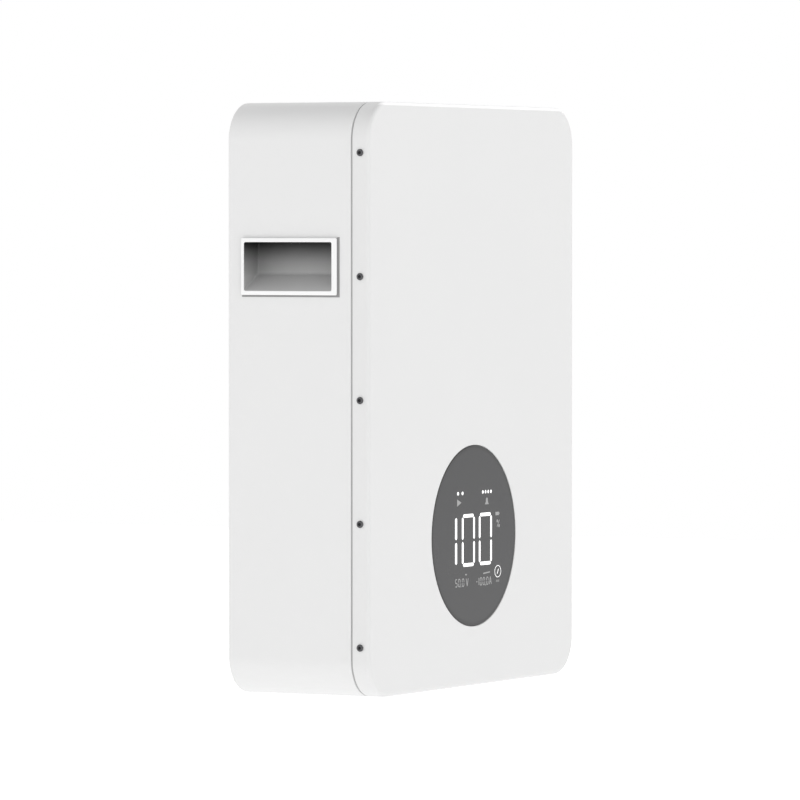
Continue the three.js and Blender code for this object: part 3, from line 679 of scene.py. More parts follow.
bay = {
    "sheet": 1.5 * mm,
    "flange": 8 * mm,
    "mouthRadius": 3 * mm,
    "cornerRadius": 3 * mm,
    "bend": 1.8 * mm,
    "nick": 0.2 * mm,
    "clearance": 0.5 * mm,
    "noseLength": 45 * mm,  # of the breaker's front, which comes through its ceiling
    "seatGap": 0.3 * mm,  # between its ceiling and the flanges of what is fixed to it
    "holes": {  # radii of the round holes in its ceiling
        "terminal_positive": 9.5 * mm, "terminal_negative": 9.5 * mm, "reset_button": 2.1 * mm,
        "power_button_collar": 9.7 * mm, "ground_stud": 3.5 * mm, "pressure_valve": 6.3 * mm,
    },
}


def rearShell():
    r, sheet, face, hold = (trays[key] for key in ("shellEdge", "sheet", "faceInset", "hold"))
    lip, nick, deep = trays["lip"], trays["nick"], caseDepth
    inset, thick = trays["collarInset"], trays["collarSheet"]
    tip = seamFront - trays["collarReach"]
    root = seamBack + trays["collarRoot"]
    bm = sweptTray([
        (face, deep - sheet), (sheet + hold, deep - sheet), (sheet + nick, deep - sheet - nick),
        (sheet, deep - sheet - hold), (sheet, root), (inset + thick, root), (inset + thick, tip),
        (inset, tip), (inset, seamBack), (lip, seamBack), (0.3 * lip, seamBack + 0.3 * lip),
        (0, seamBack + lip), (0, deep - r - hold), *bend(r, deep - r, r, 0, 90), (r + hold, deep),
        (face, deep)])
    for depth in (deep - sheet, deep):
        bmesh.ops.contextual_create(bm, geom=openEdges(bm, depth))
    bmesh.ops.recalc_face_normals(bm, faces=bm.faces)
    room = grip["wall"] + grip["clearance"]
    lead, band, sill = grip["rimLead"], grip["band"], grip["sill"]
    gripCut = prism((-2 * sideX, cupLow.y + lead + band - room, cupLow.z + sill - room),
                    (2 * sideX, cupHigh.y + lead - band + room, cupHigh.z - sill + room), 1 * mm, "X")
    edge = bay["sheet"] + bay["flange"]
    mouthCut = prism((bayLow.x + edge, bayLow.y + edge, bottomZ - 10 * mm),
                     (bayHigh.x - edge, bayHigh.y - edge, bottomZ + 4 * mm), bay["mouthRadius"])
    finished(cutBy(bm, [gripCut, mouthCut]), "rearShell", ["caseCoat"], ["rear_shell"])


def seamStrip():
    low, high = seamFront + trays["stripGap"], seamBack - trays["stripGap"]
    (out, into), nick = trays["stripInset"], trays["nick"]
    bm = sweptTray([
        (out + 0.75 * nick, low), (into, low), (into, high), (out + 0.75 * nick, high), (out, high - nick),
        (out, low + nick)], closed=True)
    finished(bm, "coverGasket", ["gasket"], ["cover_gasket"])


frontCover()
rearShell()
seamStrip()


# ---- cover screws, set out by a tree along both sides
screws = {
    "rows": 5,
    "headRadius": 3.5 * mm,
    "headHeight": 1.4 * mm,
    "seat": 0.3 * mm,
    "shankRadius": 2 * mm,
    "length": 8 * mm,
    "socketAcross": 3.0 * mm,
    "socketDepth": 0.9 * mm,
}


def screwShape(side):  # low cap head with a hexagon socket, its axis along X and its seat at 0
    top, r, s, length = (screws[key] for key in ("headHeight", "headRadius", "shankRadius", "length"))
    a = screws["socketAcross"] / 2

    def ring(radius, x, reach=lambda t: 1):
        return [Vector((side * x, radius * reach(t) * math.cos(t), radius * reach(t) * math.sin(t)))
                for t in circle(24)]

    head = [(r - 0.1 * mm, 0), (r, 0.1 * mm), (r, top - 0.7 * mm), (r - 0.12 * mm, top - 0.4 * mm),
            (r - 0.4 * mm, top - 0.12 * mm), (r - 0.75 * mm, top), (a + 0.45 * mm, top)]
    bm = bmesh.new()
    addLoops(bm, [ring(*point) for point in [(s * 0.8, -length), (s, -length + 0.4 * mm), (s, 0), *head]]
             + [ring(radius, x, hexagon) for radius, x in (
                 (a + 0.1 * mm, top), (a, top - 0.15 * mm), (a, top - screws["socketDepth"]))])
    bmesh.ops.recalc_face_normals(bm, faces=bm.faces)
    return bm


for side, sign in (("left", -1), ("right", 1)):
    names = [f"cover_screw_{side}_{i + 1}" for i in range(screws["rows"])]
    low, high = middleOf(names[-1]), middleOf(names[0])
    seatX = sideX + screws["seat"]
    step = (high.z - low.z) / (screws["rows"] - 1)
    bm = rowOf(screwShape(sign), screws["rows"], (sign * seatX, low.y, low.z), (0, 0, step), "screw",
               (math.radians(60), 0, 0))
    for face in bm.faces:  # the sockets get a darker copy of the steel, a painted shade in the hollow
        at = face.calc_center_median()
        rise = (at.z - low.z) % step
        offAxis = math.hypot(at.y - low.y, min(rise, step - rise))
        if abs(at.x) > seatX and offAxis < screws["socketAcross"] / 2:
            face.material_index = 1
    finished(bm, f"coverScrews{side.capitalize()}", ["screw", "screwSocket"], names)


# ---- recessed side grips
def sideGrip(name, sign):
    low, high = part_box(f"handle_cup_{name}")
    outX = sideX + grip["seat"] + grip["rim"]
    rimY, halfRimY = (low.y + high.y) / 2, (high.y - low.y) / 2
    middleY, halfY = rimY + grip["rimLead"], halfRimY - grip["band"]
    floorZ, roofZ = low.z + grip["sill"], high.z - grip["sill"]
    d, r, e, rim, wall, rise, end = (grip[key] for key in (
        "depth", "cornerRadius", "edge", "rim", "wall", "rise", "endRadius"))

    def loop(depth, halfLength, lowZ, highZ, radius, atY=middleY):
        midZ, halfZ = (lowZ + highZ) / 2, (highZ - lowZ) / 2
        return [Vector((sign * (outX - depth), atY + u, midZ + v))
                for u, v in roundedPoints(halfLength, halfZ, radius, 4)]

    def rimLoop(depth, inset=0.0):
        return loop(depth, halfRimY - inset, low.z + inset, high.z - inset, end, rimY)

    def mouthLoop(depth, outset, radius):
        return loop(depth, halfY + outset, floorZ - outset, roofZ + outset, radius)

    def inner(depth, shrink=0.0):  # the hollow at one depth
        radius = r + (grip["innerRadius"] - r) * depth / d
        return loop(depth, halfY - shrink, floorZ + rise * depth / d + shrink, roofZ - shrink, radius)

    def outer(depth, share):  # the back of its wall
        lift = rise * min(depth, d) / d
        return loop(depth, halfY + wall, floorZ - wall + lift * share, roofZ + wall, 2 * mm)

    bm = bmesh.new()
    addLoops(bm, [rimLoop(rim), rimLoop(e)], False, False, 2)
    face = [rimLoop(e), rimLoop(0.3 * e, 0.3 * e), rimLoop(0, e), mouthLoop(0, e + 0.3 * mm, r + e),
            mouthLoop(0, e, r + e), mouthLoop(0.3 * e, 0.3 * e, r), mouthLoop(e, 0, r)]
    addLoops(bm, face, False, False)
    hollow = [mouthLoop(e, 0, r), inner(rim), inner(d * 0.35), inner(d * 0.7), inner(d - 2 * end),
              inner(d - end), inner(d - 0.3 * end, 0.3 * end), inner(d, end), inner(d, end + 0.4 * mm)]
    addLoops(bm, hollow, False, True, 1)
    addLoops(bm, [rimLoop(rim), outer(rim, 0), outer(d * 0.5, 0.9), outer(d + wall, 0.9)], False, True)
    show = grip["shadowStripShow"]  # an L of grey strip behind the rim, showing ahead of and below it: a painted shadow of the rim
    y0, y1, y2 = rimY - halfRimY - show, rimY - halfRimY + 0.5 * mm, rimY + halfRimY
    z0, z1, z2 = low.z - show, low.z + 0.5 * mm, high.z + 0.8 * mm
    addLoops(bm, [[Vector((sign * (sideX + out), y, z))
                   for y, z in ((y0, z0), (y2, z0), (y2, z1), (y1, z1), (y1, z2), (y0, z2))]
                  for out in (0.02 * mm, 0.28 * mm)], finishIndex=2)
    finished(bm, f"sideGrip{name.capitalize()}", ["gripPlastic", "gripInside", "gripShadowStrip"],
             [f"handle_cup_{name}"], crease=28)


sideGrip("left", -1)
sideGrip("right", 1)


# ---- round display
display = {
    "edge": 0.4 * mm,
    "rearEdge": 0.2 * mm,
    "steps": 96,
    "proud": 0.1 * mm,  # the lit marks over the lens
    "sunk": 0.3 * mm,
    "heightZero": 148.4 * mm,  # the marks' heights count from this far below the lens's middle
    "noughtSides": ((-24.6, -0.1), (12.1, 37.0)),  # of the two large noughts; the marks are all in mm
    "noughtHeights": (119.7, 144.1, 168.8),
    "noughtStroke": 3.4,
    "digitHigh": 7.2,  # the small readings
    "digitStroke": 1.1,
    "digitGap": 0.132,
    "litSegments": {"0": "abcdef", "5": "afgcd", "-": "g"},
}
markFront, markRear = lensLow.y - display["proud"], lensLow.y + display["sunk"]


def displayLens():
    r, e, rear, thick = lensRadius, display["edge"], display["rearEdge"], lensHigh.y - lensLow.y
    bm = turned([(0, 0), (r - e - 1 * mm, 0), (r - e, 0), (r - 0.3 * e, 0.3 * e), (r, e), (r, thick - rear),
                 (r - rear, thick), (0, thick)], lensCentre, display["steps"], "Y")
    finished(bm, "displayLens", ["lens"], ["display_lens"])


def markPoint(x, z, y):
    return Vector((x * mm, y, lensCentre.z + z * mm - display["heightZero"]))


def addMark(bm, points, finishIndex=1):  # a lit shape given by its outline in x and height
    loops = [[markPoint(x, z, y) for x, z in points] for y in (markFront, markRear)]
    addLoops(bm, loops, finishIndex=finishIndex)


def addBar(bm, x0, z0, x1, z1, width, taper=0.5, finishIndex=1):  # a segment with pointed ends
    start, end = Vector((x0, z0)), Vector((x1, z1))
    along = (end - start).normalized()
    across, tip = Vector((-along.y, along.x)) * width / 2, along * width * taper
    addMark(bm, [start, start + tip + across, end - tip + across, end, end - tip - across,
                 start + tip - across], finishIndex)


def addDigit(bm, digit, left, low, wide):
    high, g = display["digitHigh"], display["digitGap"]
    right, top, middle = left + wide, low + high, low + high / 2
    ends = {
        "a": (left + g, top, right - g, top), "d": (left + g, low, right - g, low),
        "g": (left + g, middle, right - g, middle),
        "f": (left, middle + g, left, top - g), "b": (right, middle + g, right, top - g),
        "e": (left, low + g, left, middle - g), "c": (right, low + g, right, middle - g),
    }
    for name in display["litSegments"][digit]:
        addBar(bm, *ends[name], display["digitStroke"])


def addBrightMarks(bm):  # the charge level and its lamps
    low, middle, high = display["noughtHeights"]
    stroke = display["noughtStroke"]
    for left, right in display["noughtSides"]:
        for z in (low, high):
            addBar(bm, left + 0.7, z, right - 0.7, z, stroke, 0.45, 0)
        for x in (left, right):
            addBar(bm, x, low + 1.1, x, middle - 0.9, stroke, 0.45, 0)
            addBar(bm, x, middle + 0.9, x, high - 1.1, stroke, 0.45, 0)
    for foot, top in ((120.7, 142.8), (145.4, 167.6)):  # and the one
        addBar(bm, -38.8, foot, -38.8, top, 4.1, 0.35, 0)
    section = ((6.1, markFront), (6.1, markRear), (5.6, markRear), (5.6, markFront), (6.1, markFront))
    addLoops(bm, [[markPoint(51.8 + 1.14 * r * math.cos(t), 110.2 + r * math.sin(t), y) for t in circle(28)]
                  for r, y in section], False, False)  # a dial, and its hand
    addBar(bm, 50.3, 107.6, 53.3, 112.8, 0.8, 0.3, 0)


def addDimMarks(bm):
    for outline in (
        ((-36.6, 186), (-36.6, 178.8), (-27.5, 182.4)),  # a play arrow
        ((23.6, 178.8), (31.8, 178.8), (29.9, 181.4), (29.7, 184.4), (27.7, 185.9), (25.7, 184.4),
         (25.5, 181.4)),  # a bell
        ((46.6, 166.9), (54.0, 166.9), (54.0, 170.3), (46.6, 170.3)),  # a battery
        ((54.5, 167.8), (55.4, 167.8), (55.4, 169.4), (54.5, 169.4)),  # and its tip
    ):
        addMark(bm, outline)
    for bar in (
        (49.8, 155.0, 55.2, 162.2, 1.0, 0.2),  # the stroke of a per cent sign
        (-17.2, 106.2, -15.1, 98.4, 1.2, 0.2), (-12.8, 106.2, -14.9, 98.4, 1.2, 0.2),  # volts
        (10.4, 98.1, 10.4, 105.5, 1.2, 0.3),  # a one
        (33.2, 97.9, 35.3, 105.8, 1.1, 0.2), (37.6, 97.9, 35.5, 105.8, 1.1, 0.2),  # amperes
        (33.9, 100.7, 36.9, 100.7, 1.1, 0.2),
        (19.6, 109.4, 34.6, 110.4, 1.3, 0.4), (-19.4, 110.0, -15.6, 110.0, 1.4, 0.4),  # two lines
        *((x, 99.4, x, 101.8, 1.0, 0.2) for x in (48.6, 51.2, 53.8)),  # three ticks
    ):
        addBar(bm, *bar)
    for digit, left in (("5", -40.4), ("0", -33.9), ("0", -25.8)):
        addDigit(bm, digit, left, 98.7, 3.8)
    addDigit(bm, "-", 4.6, 98.1, 3.0)
    for left in (13.2, 19.5, 27.0):
        addDigit(bm, "0", left, 98.1, 3.6)


def litMarks():
    bm = bmesh.new()
    addBrightMarks(bm)
    addDimMarks(bm)
    for x, z, wide, high, steps, finishIndex in (
        (-34.6, 191.6, 2.0, 1.7, 16, 0), (-25.0, 191.6, 2.0, 1.7, 16, 0),
        *((19.0 + 5.9 * i, 191.5, 1.6, 1.7, 16, 0) for i in range(4)),
        (50.6, 161.0, 1.6, 1.6, 12, 1), (54.4, 156.2, 1.6, 1.6, 12, 1),
        (-28.6, 98.3, 0.8, 0.8, 8, 1), (25.2, 97.7, 0.8, 0.8, 8, 1),  # the decimal points
    ):
        addMark(bm, [(x + wide * math.cos(t), z + high * math.sin(t)) for t in circle(steps)], finishIndex)
    finished(bm, "litMarks", ["segments", "dimSegments"])


displayLens()
litMarks()


# ---- connector bay: a folded box let into the underside
bayCeiling = bayHigh.z - bay["sheet"]  # the face the connectors come through
seat = bayCeiling - bay["seatGap"]  # where their flanges sit


def footOf(name):  # the point at height 0 under a node's middle
    middle = middleOf(name)
    return Vector((middle.x, middle.y, 0))


def post(foot, radius, low, high, steps=32):  # a closed upright cylinder
    return turned([(0, low), (radius, low), (radius, high), (0, high)], foot, steps)


def connectorBay():
    sheet, wallOut, r, nick = (bay[key] for key in ("sheet", "flange", "bend", "nick"))
    middle, wallIn = (bayLow + bayHigh) / 2, wallOut + sheet
    halfX, halfY = (bayHigh.x - bayLow.x) / 2, (bayHigh.y - bayLow.y) / 2
    foot, top = bayLow.z, bayHigh.z

    def loop(inset, z):
        corner = max(bay["cornerRadius"] + 0.2 * bay["flange"] - 0.3 * inset, 0.6 * mm)
        return [Vector((middle.x + u, middle.y + v, z))
                for u, v in roundedPoints(halfX - inset, halfY - inset, corner, 5)]

    quarter = [math.radians(angle) for angle in (0, 30, 60, 90)]
    bm = bmesh.new()
    addLoops(bm, [
        loop(wallIn + 4 * mm, bayCeiling),
        *(loop(wallIn + r * (1 - math.sin(a)), bayCeiling - r * (1 - math.cos(a))) for a in quarter),
        *(loop(wallIn - r * (1 - math.cos(a)), foot + r * (1 - math.sin(a))) for a in quarter),
        loop(nick, foot), loop(0, foot + nick), loop(0, foot + sheet - nick), loop(nick, foot + sheet),
        loop(wallOut - 2 * nick, foot + sheet), loop(wallOut, foot + sheet + 2 * nick),
        *(loop(wallOut + 1.6 * r * (1 - math.cos(a)), top - 1.6 * r * (1 - math.sin(a))) for a in quarter)])
    low, high, c = bayCeiling - 1 * mm, top + 1 * mm, bay["clearance"]
    boxes = [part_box(name) for name in ("data_sockets", "dip_switch_body", "dry_contact_block")]
    cutters = [prism((a.x - c, a.y - c, low), (b.x + c, b.y + c, high), 0.6 * mm) for a, b in boxes]
    a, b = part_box("breaker_body")  # only its nose comes through
    noseY, noseHalf = (a.y + b.y) / 2, bay["noseLength"] / 2 + c
    cutters.append(prism((a.x - c, noseY - noseHalf, low), (b.x + c, noseY + noseHalf, high), 0.8 * mm))
    cutters += [post(footOf(name), radius, low, high) for name, radius in bay["holes"].items()]
    finished(cutBy(sealed(bm), cutters), "connectorBay", ["zinc"], ["connector_bay"])


connectorBay()


# ---- two-pole breaker and its toggle
breaker = {
    "edge": 0.8 * mm,
    "pocketClearance": 0.5 * mm,
    "pocketHalfLength": 13 * mm,
    "seamOut": 18.2 * mm,  # the joint between the poles shows this far from the middle
    "stepIn": 1.7 * mm,  # the stepped ends of the nose
    "stepHalf": 2.2 * mm,
    "poleOut": 9 * mm,
    "onOut": 16.3 * mm,
    "offOut": 16.2 * mm,
    "leverRadius": 9 * mm,
    "leverWidth": 27 * mm,
    "leverThickness": 5 * mm,
    "leverReach": 21 * mm,
    "leverTilt": 35,
    "ribs": 4,
    "ribPitch": 1.7 * mm,
}
breakerLow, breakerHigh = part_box("breaker_body")
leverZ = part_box("breaker_lever")[1].z - breaker["leverRadius"]
leverCentre = footOf("breaker_body") + Vector((0, 0, leverZ))


def breakerBody():
    x, y, face, half = leverCentre.x, leverCentre.y, breakerLow.z, bay["noseLength"] / 2
    shoulder, below, edge = bayHigh.z + bay["seatGap"], face - 1 * mm, breaker["edge"]
    nose = block((breakerLow.x, y - half, face), (breakerHigh.x, y + half, shoulder + 4 * mm), edge)
    case = block((breakerLow.x, breakerLow.y, shoulder), breakerHigh, edge)
    pocketHalf = breaker["leverWidth"] / 2 + breaker["pocketClearance"]
    radius = breaker["leverRadius"] + breaker["pocketClearance"]
    pocket = turned([(0, -pocketHalf), (radius, -pocketHalf), (radius, pocketHalf), (0, pocketHalf)],
                    leverCentre, 40, "X")
    slot = prism(*span(x, y, pocketHalf, breaker["pocketHalfLength"], below, leverZ - 2 * mm), 1.2 * mm)
    seamOut, stepOut = breaker["seamOut"], half - breaker["stepIn"]
    stepX, stepY = (breakerHigh.x - breakerLow.x) / 2 + 1 * mm, breaker["stepHalf"]
    seams = [block(*span(x, atY, 0.25 * mm, 5 * mm, below, face + 0.5 * mm))
             for atY in (y - seamOut, y + seamOut)]
    steps = [block(*span(x, atY, stepX, stepY, below, face + 0.7 * mm)) for atY in (y - stepOut, y + stepOut)]
    bm = cutBy(nose, [pocket, slot, *seams, *steps], [case])
    low, high, inside, outside = -0.25 * mm, 0.3 * mm, 0.8 * mm, 1.3 * mm
    for poleX in (x - breaker["poleOut"], x + breaker["poleOut"]):  # a raised bar for on, a ring for off
        bar = span(poleX, y + breaker["onOut"], 0.35 * mm, outside, face + low, face + high)
        addBlock(bm, *bar, 0.1 * mm, 1, 1)
        addRing(bm, [(inside, high), (inside, low), (outside, low), (outside, high)],
                (poleX, y - breaker["offOut"], face), 20, 1)
    finished(bm, "breakerBody", ["grey", "black"], ["breaker_body"])


def breakerLever():
    half, thick = breaker["leverWidth"] / 2, breaker["leverThickness"] / 2
    radius, reach = breaker["leverRadius"], breaker["leverReach"]
    e, groove, tip = 0.5 * mm, 0.4 * mm, 0.72 * thick
    bm = bmesh.new()
    addTurned(bm, [
        (0, -half), (radius - e, -half), (radius, -half + e), (radius, -groove), (radius - groove, 0),
        (radius, groove), (radius, half - e), (radius - e, half), (0, half)], (0, 0, 0), 48, "X")
    for side in (-1, 1):  # one toggle to a pole, ribbed at the finger's end
        low, high = sorted((side * 0.6 * mm, side * (half - 0.8 * mm)))
        levels = ((-radius * 0.5, thick, 0), (-reach + 1.2 * mm, tip, 0), (-reach + 0.4 * mm, tip, 0.25 * mm),
                  (-reach, tip, 0.8 * mm))  # height, half thickness and how far the sides are drawn in
        addLoops(bm, [[Vector((x, y, z)) for x, y in (
            (low + c, c - w), (high - c, c - w), (high - c, w - c), (low + c, w - c))] for z, w, c in levels])
        for i in range(breaker["ribs"]):
            z = -reach + 2.4 * mm + i * breaker["ribPitch"]
            addBlock(bm, (low + 1 * mm, -thick, z - 0.35 * mm), (high - 1 * mm, thick, z + 0.35 * mm),
                     0.25 * mm)
    tie = span(0, 0, half - 3 * mm, 0.5 * thick, -reach * 0.78, -reach * 0.62)
    merge(bm, block(*tie, 0.4 * mm))
    bmesh.ops.transform(bm, verts=bm.verts, matrix=Matrix.Translation(leverCentre)
                        @ Matrix.Rotation(math.radians(breaker["leverTilt"]), 4, "X"))
    finished(bm, "breakerLever", ["black"], ["breaker_lever"], "lever")


breakerBody()
breakerLever()


# ---- battery terminals: flanged plug-in sockets
terminal = {
    "collar": 10 * mm,
    "bore": 7 * mm,
    "pin": 4 * mm,
    "body": 9 * mm,
    "tail": 9 * mm,  # length of the thin end inside the case
    "mouthUp": 10 * mm,  # above the case's bottom
    "boreTop": 28 * mm,
    "pinTip": 16 * mm,
    "flange": 3 * mm,
    "flutes": 12,
    "flangeScrew": 1.9 * mm,
    "flangeScrewOut": 11.4 * mm,
    "signIn": 2.1 * mm,  # the raised plus or minus, from the flange's edge
}


def powerTerminal(node, finish, plus):
    low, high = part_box(node)
    foot = footOf(node)
    mouth, boreTop, pinTip = (bottomZ + terminal[key] for key in ("mouthUp", "boreTop", "pinTip"))
    c, b, p, body, tail = (terminal[key] for key in ("collar", "bore", "pin", "body", "tail"))
    half, face = (high.x - low.x) / 2, seat - terminal["flange"]
    bm = bmesh.new()
    addTurned(bm, [
        (0, high.z), (p, high.z), (p, high.z - tail), (body, high.z - tail), (body, seat - 1 * mm),
        (c - 0.8 * mm, seat - 1 * mm), (c - 0.8 * mm, seat - 6 * mm), (c, seat - 6.6 * mm),
        (c, mouth + 5.4 * mm), (c - 0.5 * mm, mouth + 4.8 * mm), (c - 0.5 * mm, mouth + 3.4 * mm),
        (c, mouth + 2.8 * mm), (c, mouth + 0.5 * mm), (c - 0.5 * mm, mouth), (b + 0.6 * mm, mouth),
        (b, mouth + 0.6 * mm), (b, boreTop), (p + 0.6 * mm, boreTop), (0, boreTop)], foot, 48)
    levels = ((seat, 0.2 * mm), (seat - 0.2 * mm, 0), (face + 0.4 * mm, 0), (face, 0.4 * mm))
    addLoops(bm, [[foot + Vector((u, v, z)) for u, v in roundedPoints(half - i, half - i, 4 * mm - i, 5)]
                  for z, i in levels])
    for t in circle(terminal["flutes"]):  # grip flutes round the collar
        x, y = foot.x + math.cos(t) * (c - 0.05 * mm), foot.y + math.sin(t) * (c - 0.05 * mm)
        addBlock(bm, *span(x, y, 0.45 * mm, 0.45 * mm, mouth + 6.4 * mm, seat - 6.8 * mm), 0.2 * mm, 1)
    addTurned(bm, [
        (0, boreTop + 0.2 * mm), (p - 0.2 * mm, boreTop + 0.2 * mm), (p - 0.2 * mm, pinTip + 2.6 * mm),
        (p - 0.5 * mm, pinTip + 2.2 * mm), (0, pinTip + 2.2 * mm)], foot, 32, "Z", 1)
    addTurned(bm, [  # the finger-safe cap of the pin
        (0, pinTip + 2.4 * mm), (p - 0.3 * mm, pinTip + 2.4 * mm), (p - 0.3 * mm, pinTip + 0.8 * mm),
        (p - 1 * mm, pinTip), (0, pinTip)], foot, 24)
    out, r = terminal["flangeScrewOut"], terminal["flangeScrew"]
    for x, y in ((-out, -out), (-out, out), (out, -out), (out, out)):
        addTurned(bm, [
            (0, face + 0.5 * mm), (r, face + 0.5 * mm), (r, face - 0.3 * mm), (r - 0.5 * mm, face - 0.9 * mm),
            (0.7 * mm, face - 1.0 * mm), (0.6 * mm, face - 0.4 * mm), (0, face - 0.4 * mm)],
            foot + Vector((x, y, 0)), 16, "Z", 1)
    y = foot.y - half + terminal["signIn"]
    addBlock(bm, *span(foot.x, y, 1.5 * mm, 0.35 * mm, face - 0.3 * mm, face + 0.2 * mm), 0.1 * mm, 1, 2)
    if plus:
        addBlock(bm, *span(foot.x, y, 0.35 * mm, 1.5 * mm, face - 0.32 * mm, face + 0.2 * mm), 0.1 * mm, 1, 2)
    name = "powerTerminalPositive" if plus else "powerTerminalNegative"
    finished(bm, name, [finish, "nickel", "white"], [node])


powerTerminal("terminal_positive", "orange", True)
powerTerminal("terminal_negative", "black", False)


# ---- four data sockets in one housing
data = {
    "ports": 4,
    "pitch": 15 * mm,
    "portWidth": 11.8 * mm,
    "portLength": 8 * mm,
    "portDepth": 12 * mm,
    "latchWidth": 6 * mm,
    "latchStep": 2.2 * mm,
    "latchDepth": 7 * mm,
    "contacts": 8,
    "contactPitch": 1.02 * mm,
    "contactWidth": 0.36 * mm,
    "lampOut": 4.6 * mm,
}


def placesAlong(middle, count, pitch):  # evenly about a middle
    return [middle + (i - (count - 1) / 2) * pitch for i in range(count)]


def wire(path, width):  # a square wire along points of y and z
    points = [Vector((0, y, z)) for y, z in path]
    loops = []
    for i, point in enumerate(points):
        along = (points[min(i + 1, len(points) - 1)] - points[max(i - 1, 0)]).normalized()
        up, side = Vector((0, -along.z, along.y)) * width / 2, Vector((width / 2, 0, 0))
        loops.append([point - side - up, point + side - up, point + side + up, point - side + up])
    bm = bmesh.new()
    addLoops(bm, loops)
    return bm


def dataSockets():
    low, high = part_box("data_sockets")
    middle, face = (low + high) / 2, low.z
    halfW, halfL, latch = data["portWidth"] / 2, data["portLength"] / 2, data["latchWidth"] / 2
    rear, front, below = middle.y - halfL, middle.y + halfL, face - 1 * mm
    ports = placesAlong(middle.x, data["ports"], data["pitch"])
    cutters = []
    for x in ports:  # the port, its latch and the moulded line behind it
        port = span(x, middle.y, halfW, halfL, below, face + data["portDepth"])
        cutters.append(prism(*port, 0.3 * mm, steps=2))
        latchEnd = (x + latch, front + data["latchStep"], face + data["latchDepth"])
        cutters.append(prism((x - latch, front - 1 * mm, below), latchEnd, 0.2 * mm, steps=2))
        cutters.append(block(*span(x, rear - 1 * mm, halfW + 1.1 * mm, 0.1 * mm, below, face + 0.3 * mm)))
    bm = cutBy(block(low, high, 0.4 * mm), cutters)
    path = ((0.5, 11.9), (0.6, 4.2), (1.0, 3.2), (1.8, 3.4), (4.6, 9.8))  # of a contact, in mm
    for x in ports:
        first = placesAlong(x, data["contacts"], data["contactPitch"])[0]
        contact = wire([(rear + y * mm, face + z * mm) for y, z in path], data["contactWidth"])
        merge(bm, rowOf(contact, data["contacts"], (first, 0, 0), (data["contactPitch"], 0, 0), "gold"), 1)
        for lampX, finishIndex in ((x - data["lampOut"], 2), (x + data["lampOut"], 3)):
            lamp = span(lampX, front + 1.7 * mm, 0.9 * mm, 0.7 * mm, face - 0.15 * mm, face + 1 * mm)
            addBlock(bm, *lamp, 0.2 * mm, 1, finishIndex)
    materials = ["black", "gold", "greenLamp", "amberLamp"]
    finished(bm, "dataSockets", materials, ["data_sockets"])


dataSockets()


# ---- DIP switch
dip = {
    "sliders": 4,
    "slotDepth": 1.2 * mm,
    "clearance": 0.3 * mm,
    "travel": 2 * mm,
    "dotFirst": 0.8 * mm,
    "dotPitch": 0.55 * mm,
}


def dipSwitch():
    low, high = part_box("dip_switch_body")
    sliders = [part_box(f"dip_slider_{i + 1}") for i in range(dip["sliders"])]
    c, travel, slotTop = dip["clearance"], dip["travel"], low.z + dip["slotDepth"]
    bm = cutBy(block(low, high, 0.3 * mm), [
        prism((a.x - c, a.y - c, low.z - 1 * mm), (b.x + c, b.y + travel + c, slotTop), 0.15 * mm, steps=2)
        for a, b in sliders])
    for i, (a, b) in enumerate(sliders):  # one to four dots beside the sliders
        for dot in range(i + 1):
            y = low.y + dip["dotFirst"] + dot * dip["dotPitch"]
            addBlock(bm, *span((a.x + b.x) / 2, y, 0.18 * mm, 0.18 * mm, low.z - 0.06 * mm, low.z + 0.1 * mm),
                     0.05 * mm, 1, 1)
    finished(bm, "dipSwitchBody", ["blue", "white"], ["dip_switch_body"])
    for i, (a, b) in enumerate(sliders):
        bm = block(a, b, 0.14 * mm)
        for share in (1 / 3, 2 / 3):
            y = a.y + share * (b.y - a.y)
            addBlock(bm, (a.x + 0.1 * mm, y - 0.08 * mm, a.z - 0.07 * mm),
                     (b.x - 0.1 * mm, y + 0.08 * mm, a.z + 0.1 * mm), 0.03 * mm, 1)
        finished(bm, f"dipSlider{i + 1}", ["white"], [f"dip_slider_{i + 1}"], f"dip_{i + 1}")


dipSwitch()


# ---- reset pin and power button
button = {
    "radius": 7 * mm,
    "collarRadius": 11 * mm,
    "bodyRadius": 9.2 * mm,
    "bore": 7.5 * mm,
    "boreUp": 6.5 * mm,  # above the seat
    "ringOut": 9.4 * mm,
    "ringWidth": 0.6 * mm,
    "ringGap": 0.02 * mm,
    "steps": 64,
}


def resetButton():
    low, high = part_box("reset_button")
    r, z = (high.x - low.x) / 2, low.z
    bm = turned([(0, high.z), (r - 0.1 * mm, high.z), (r, high.z - 0.1 * mm), (r, z + 0.3 * mm),
                 (r - 0.3 * mm, z), (r - 0.6 * mm, z), (r - 0.9 * mm, z + 0.2 * mm), (0, z + 0.3 * mm)],
                footOf("reset_button"), 28)
    finished(bm, "resetButton", ["black"], ["reset_button"], "reset_cap")


def powerCollar():  # with a lit ring let into its face
    low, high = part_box("power_button_collar")
    foot, z = footOf("power_button_collar"), low.z
    out, body, bore, ring, gap, steps = (button[key] for key in (
        "collarRadius", "bodyRadius", "bore", "ringOut", "ringGap", "steps"))
    ringIn, up = ring - button["ringWidth"], seat + button["boreUp"]
    bm = bmesh.new()
    addTurned(bm, [
        (0, up), (bore, up), (bore, z + 0.3 * mm), (bore + 0.3 * mm, z), (ringIn, z), (ringIn, z + 0.25 * mm),
        (ring, z + 0.25 * mm), (ring, z), (out - 0.5 * mm, z), (out, z + 0.5 * mm), (out, seat), (body, seat),
        (body, high.z), (0, high.z)], foot, steps)
    addRing(bm, [(ringIn + gap, z + 0.3 * mm), (ringIn + gap, z + 0.05 * mm), (ring - gap, z + 0.05 * mm),
                 (ring - gap, z + 0.3 * mm)], foot, steps, 1)
    finished(bm, "powerButtonCollar", ["satin", "greenLamp"], ["power_button_collar"])


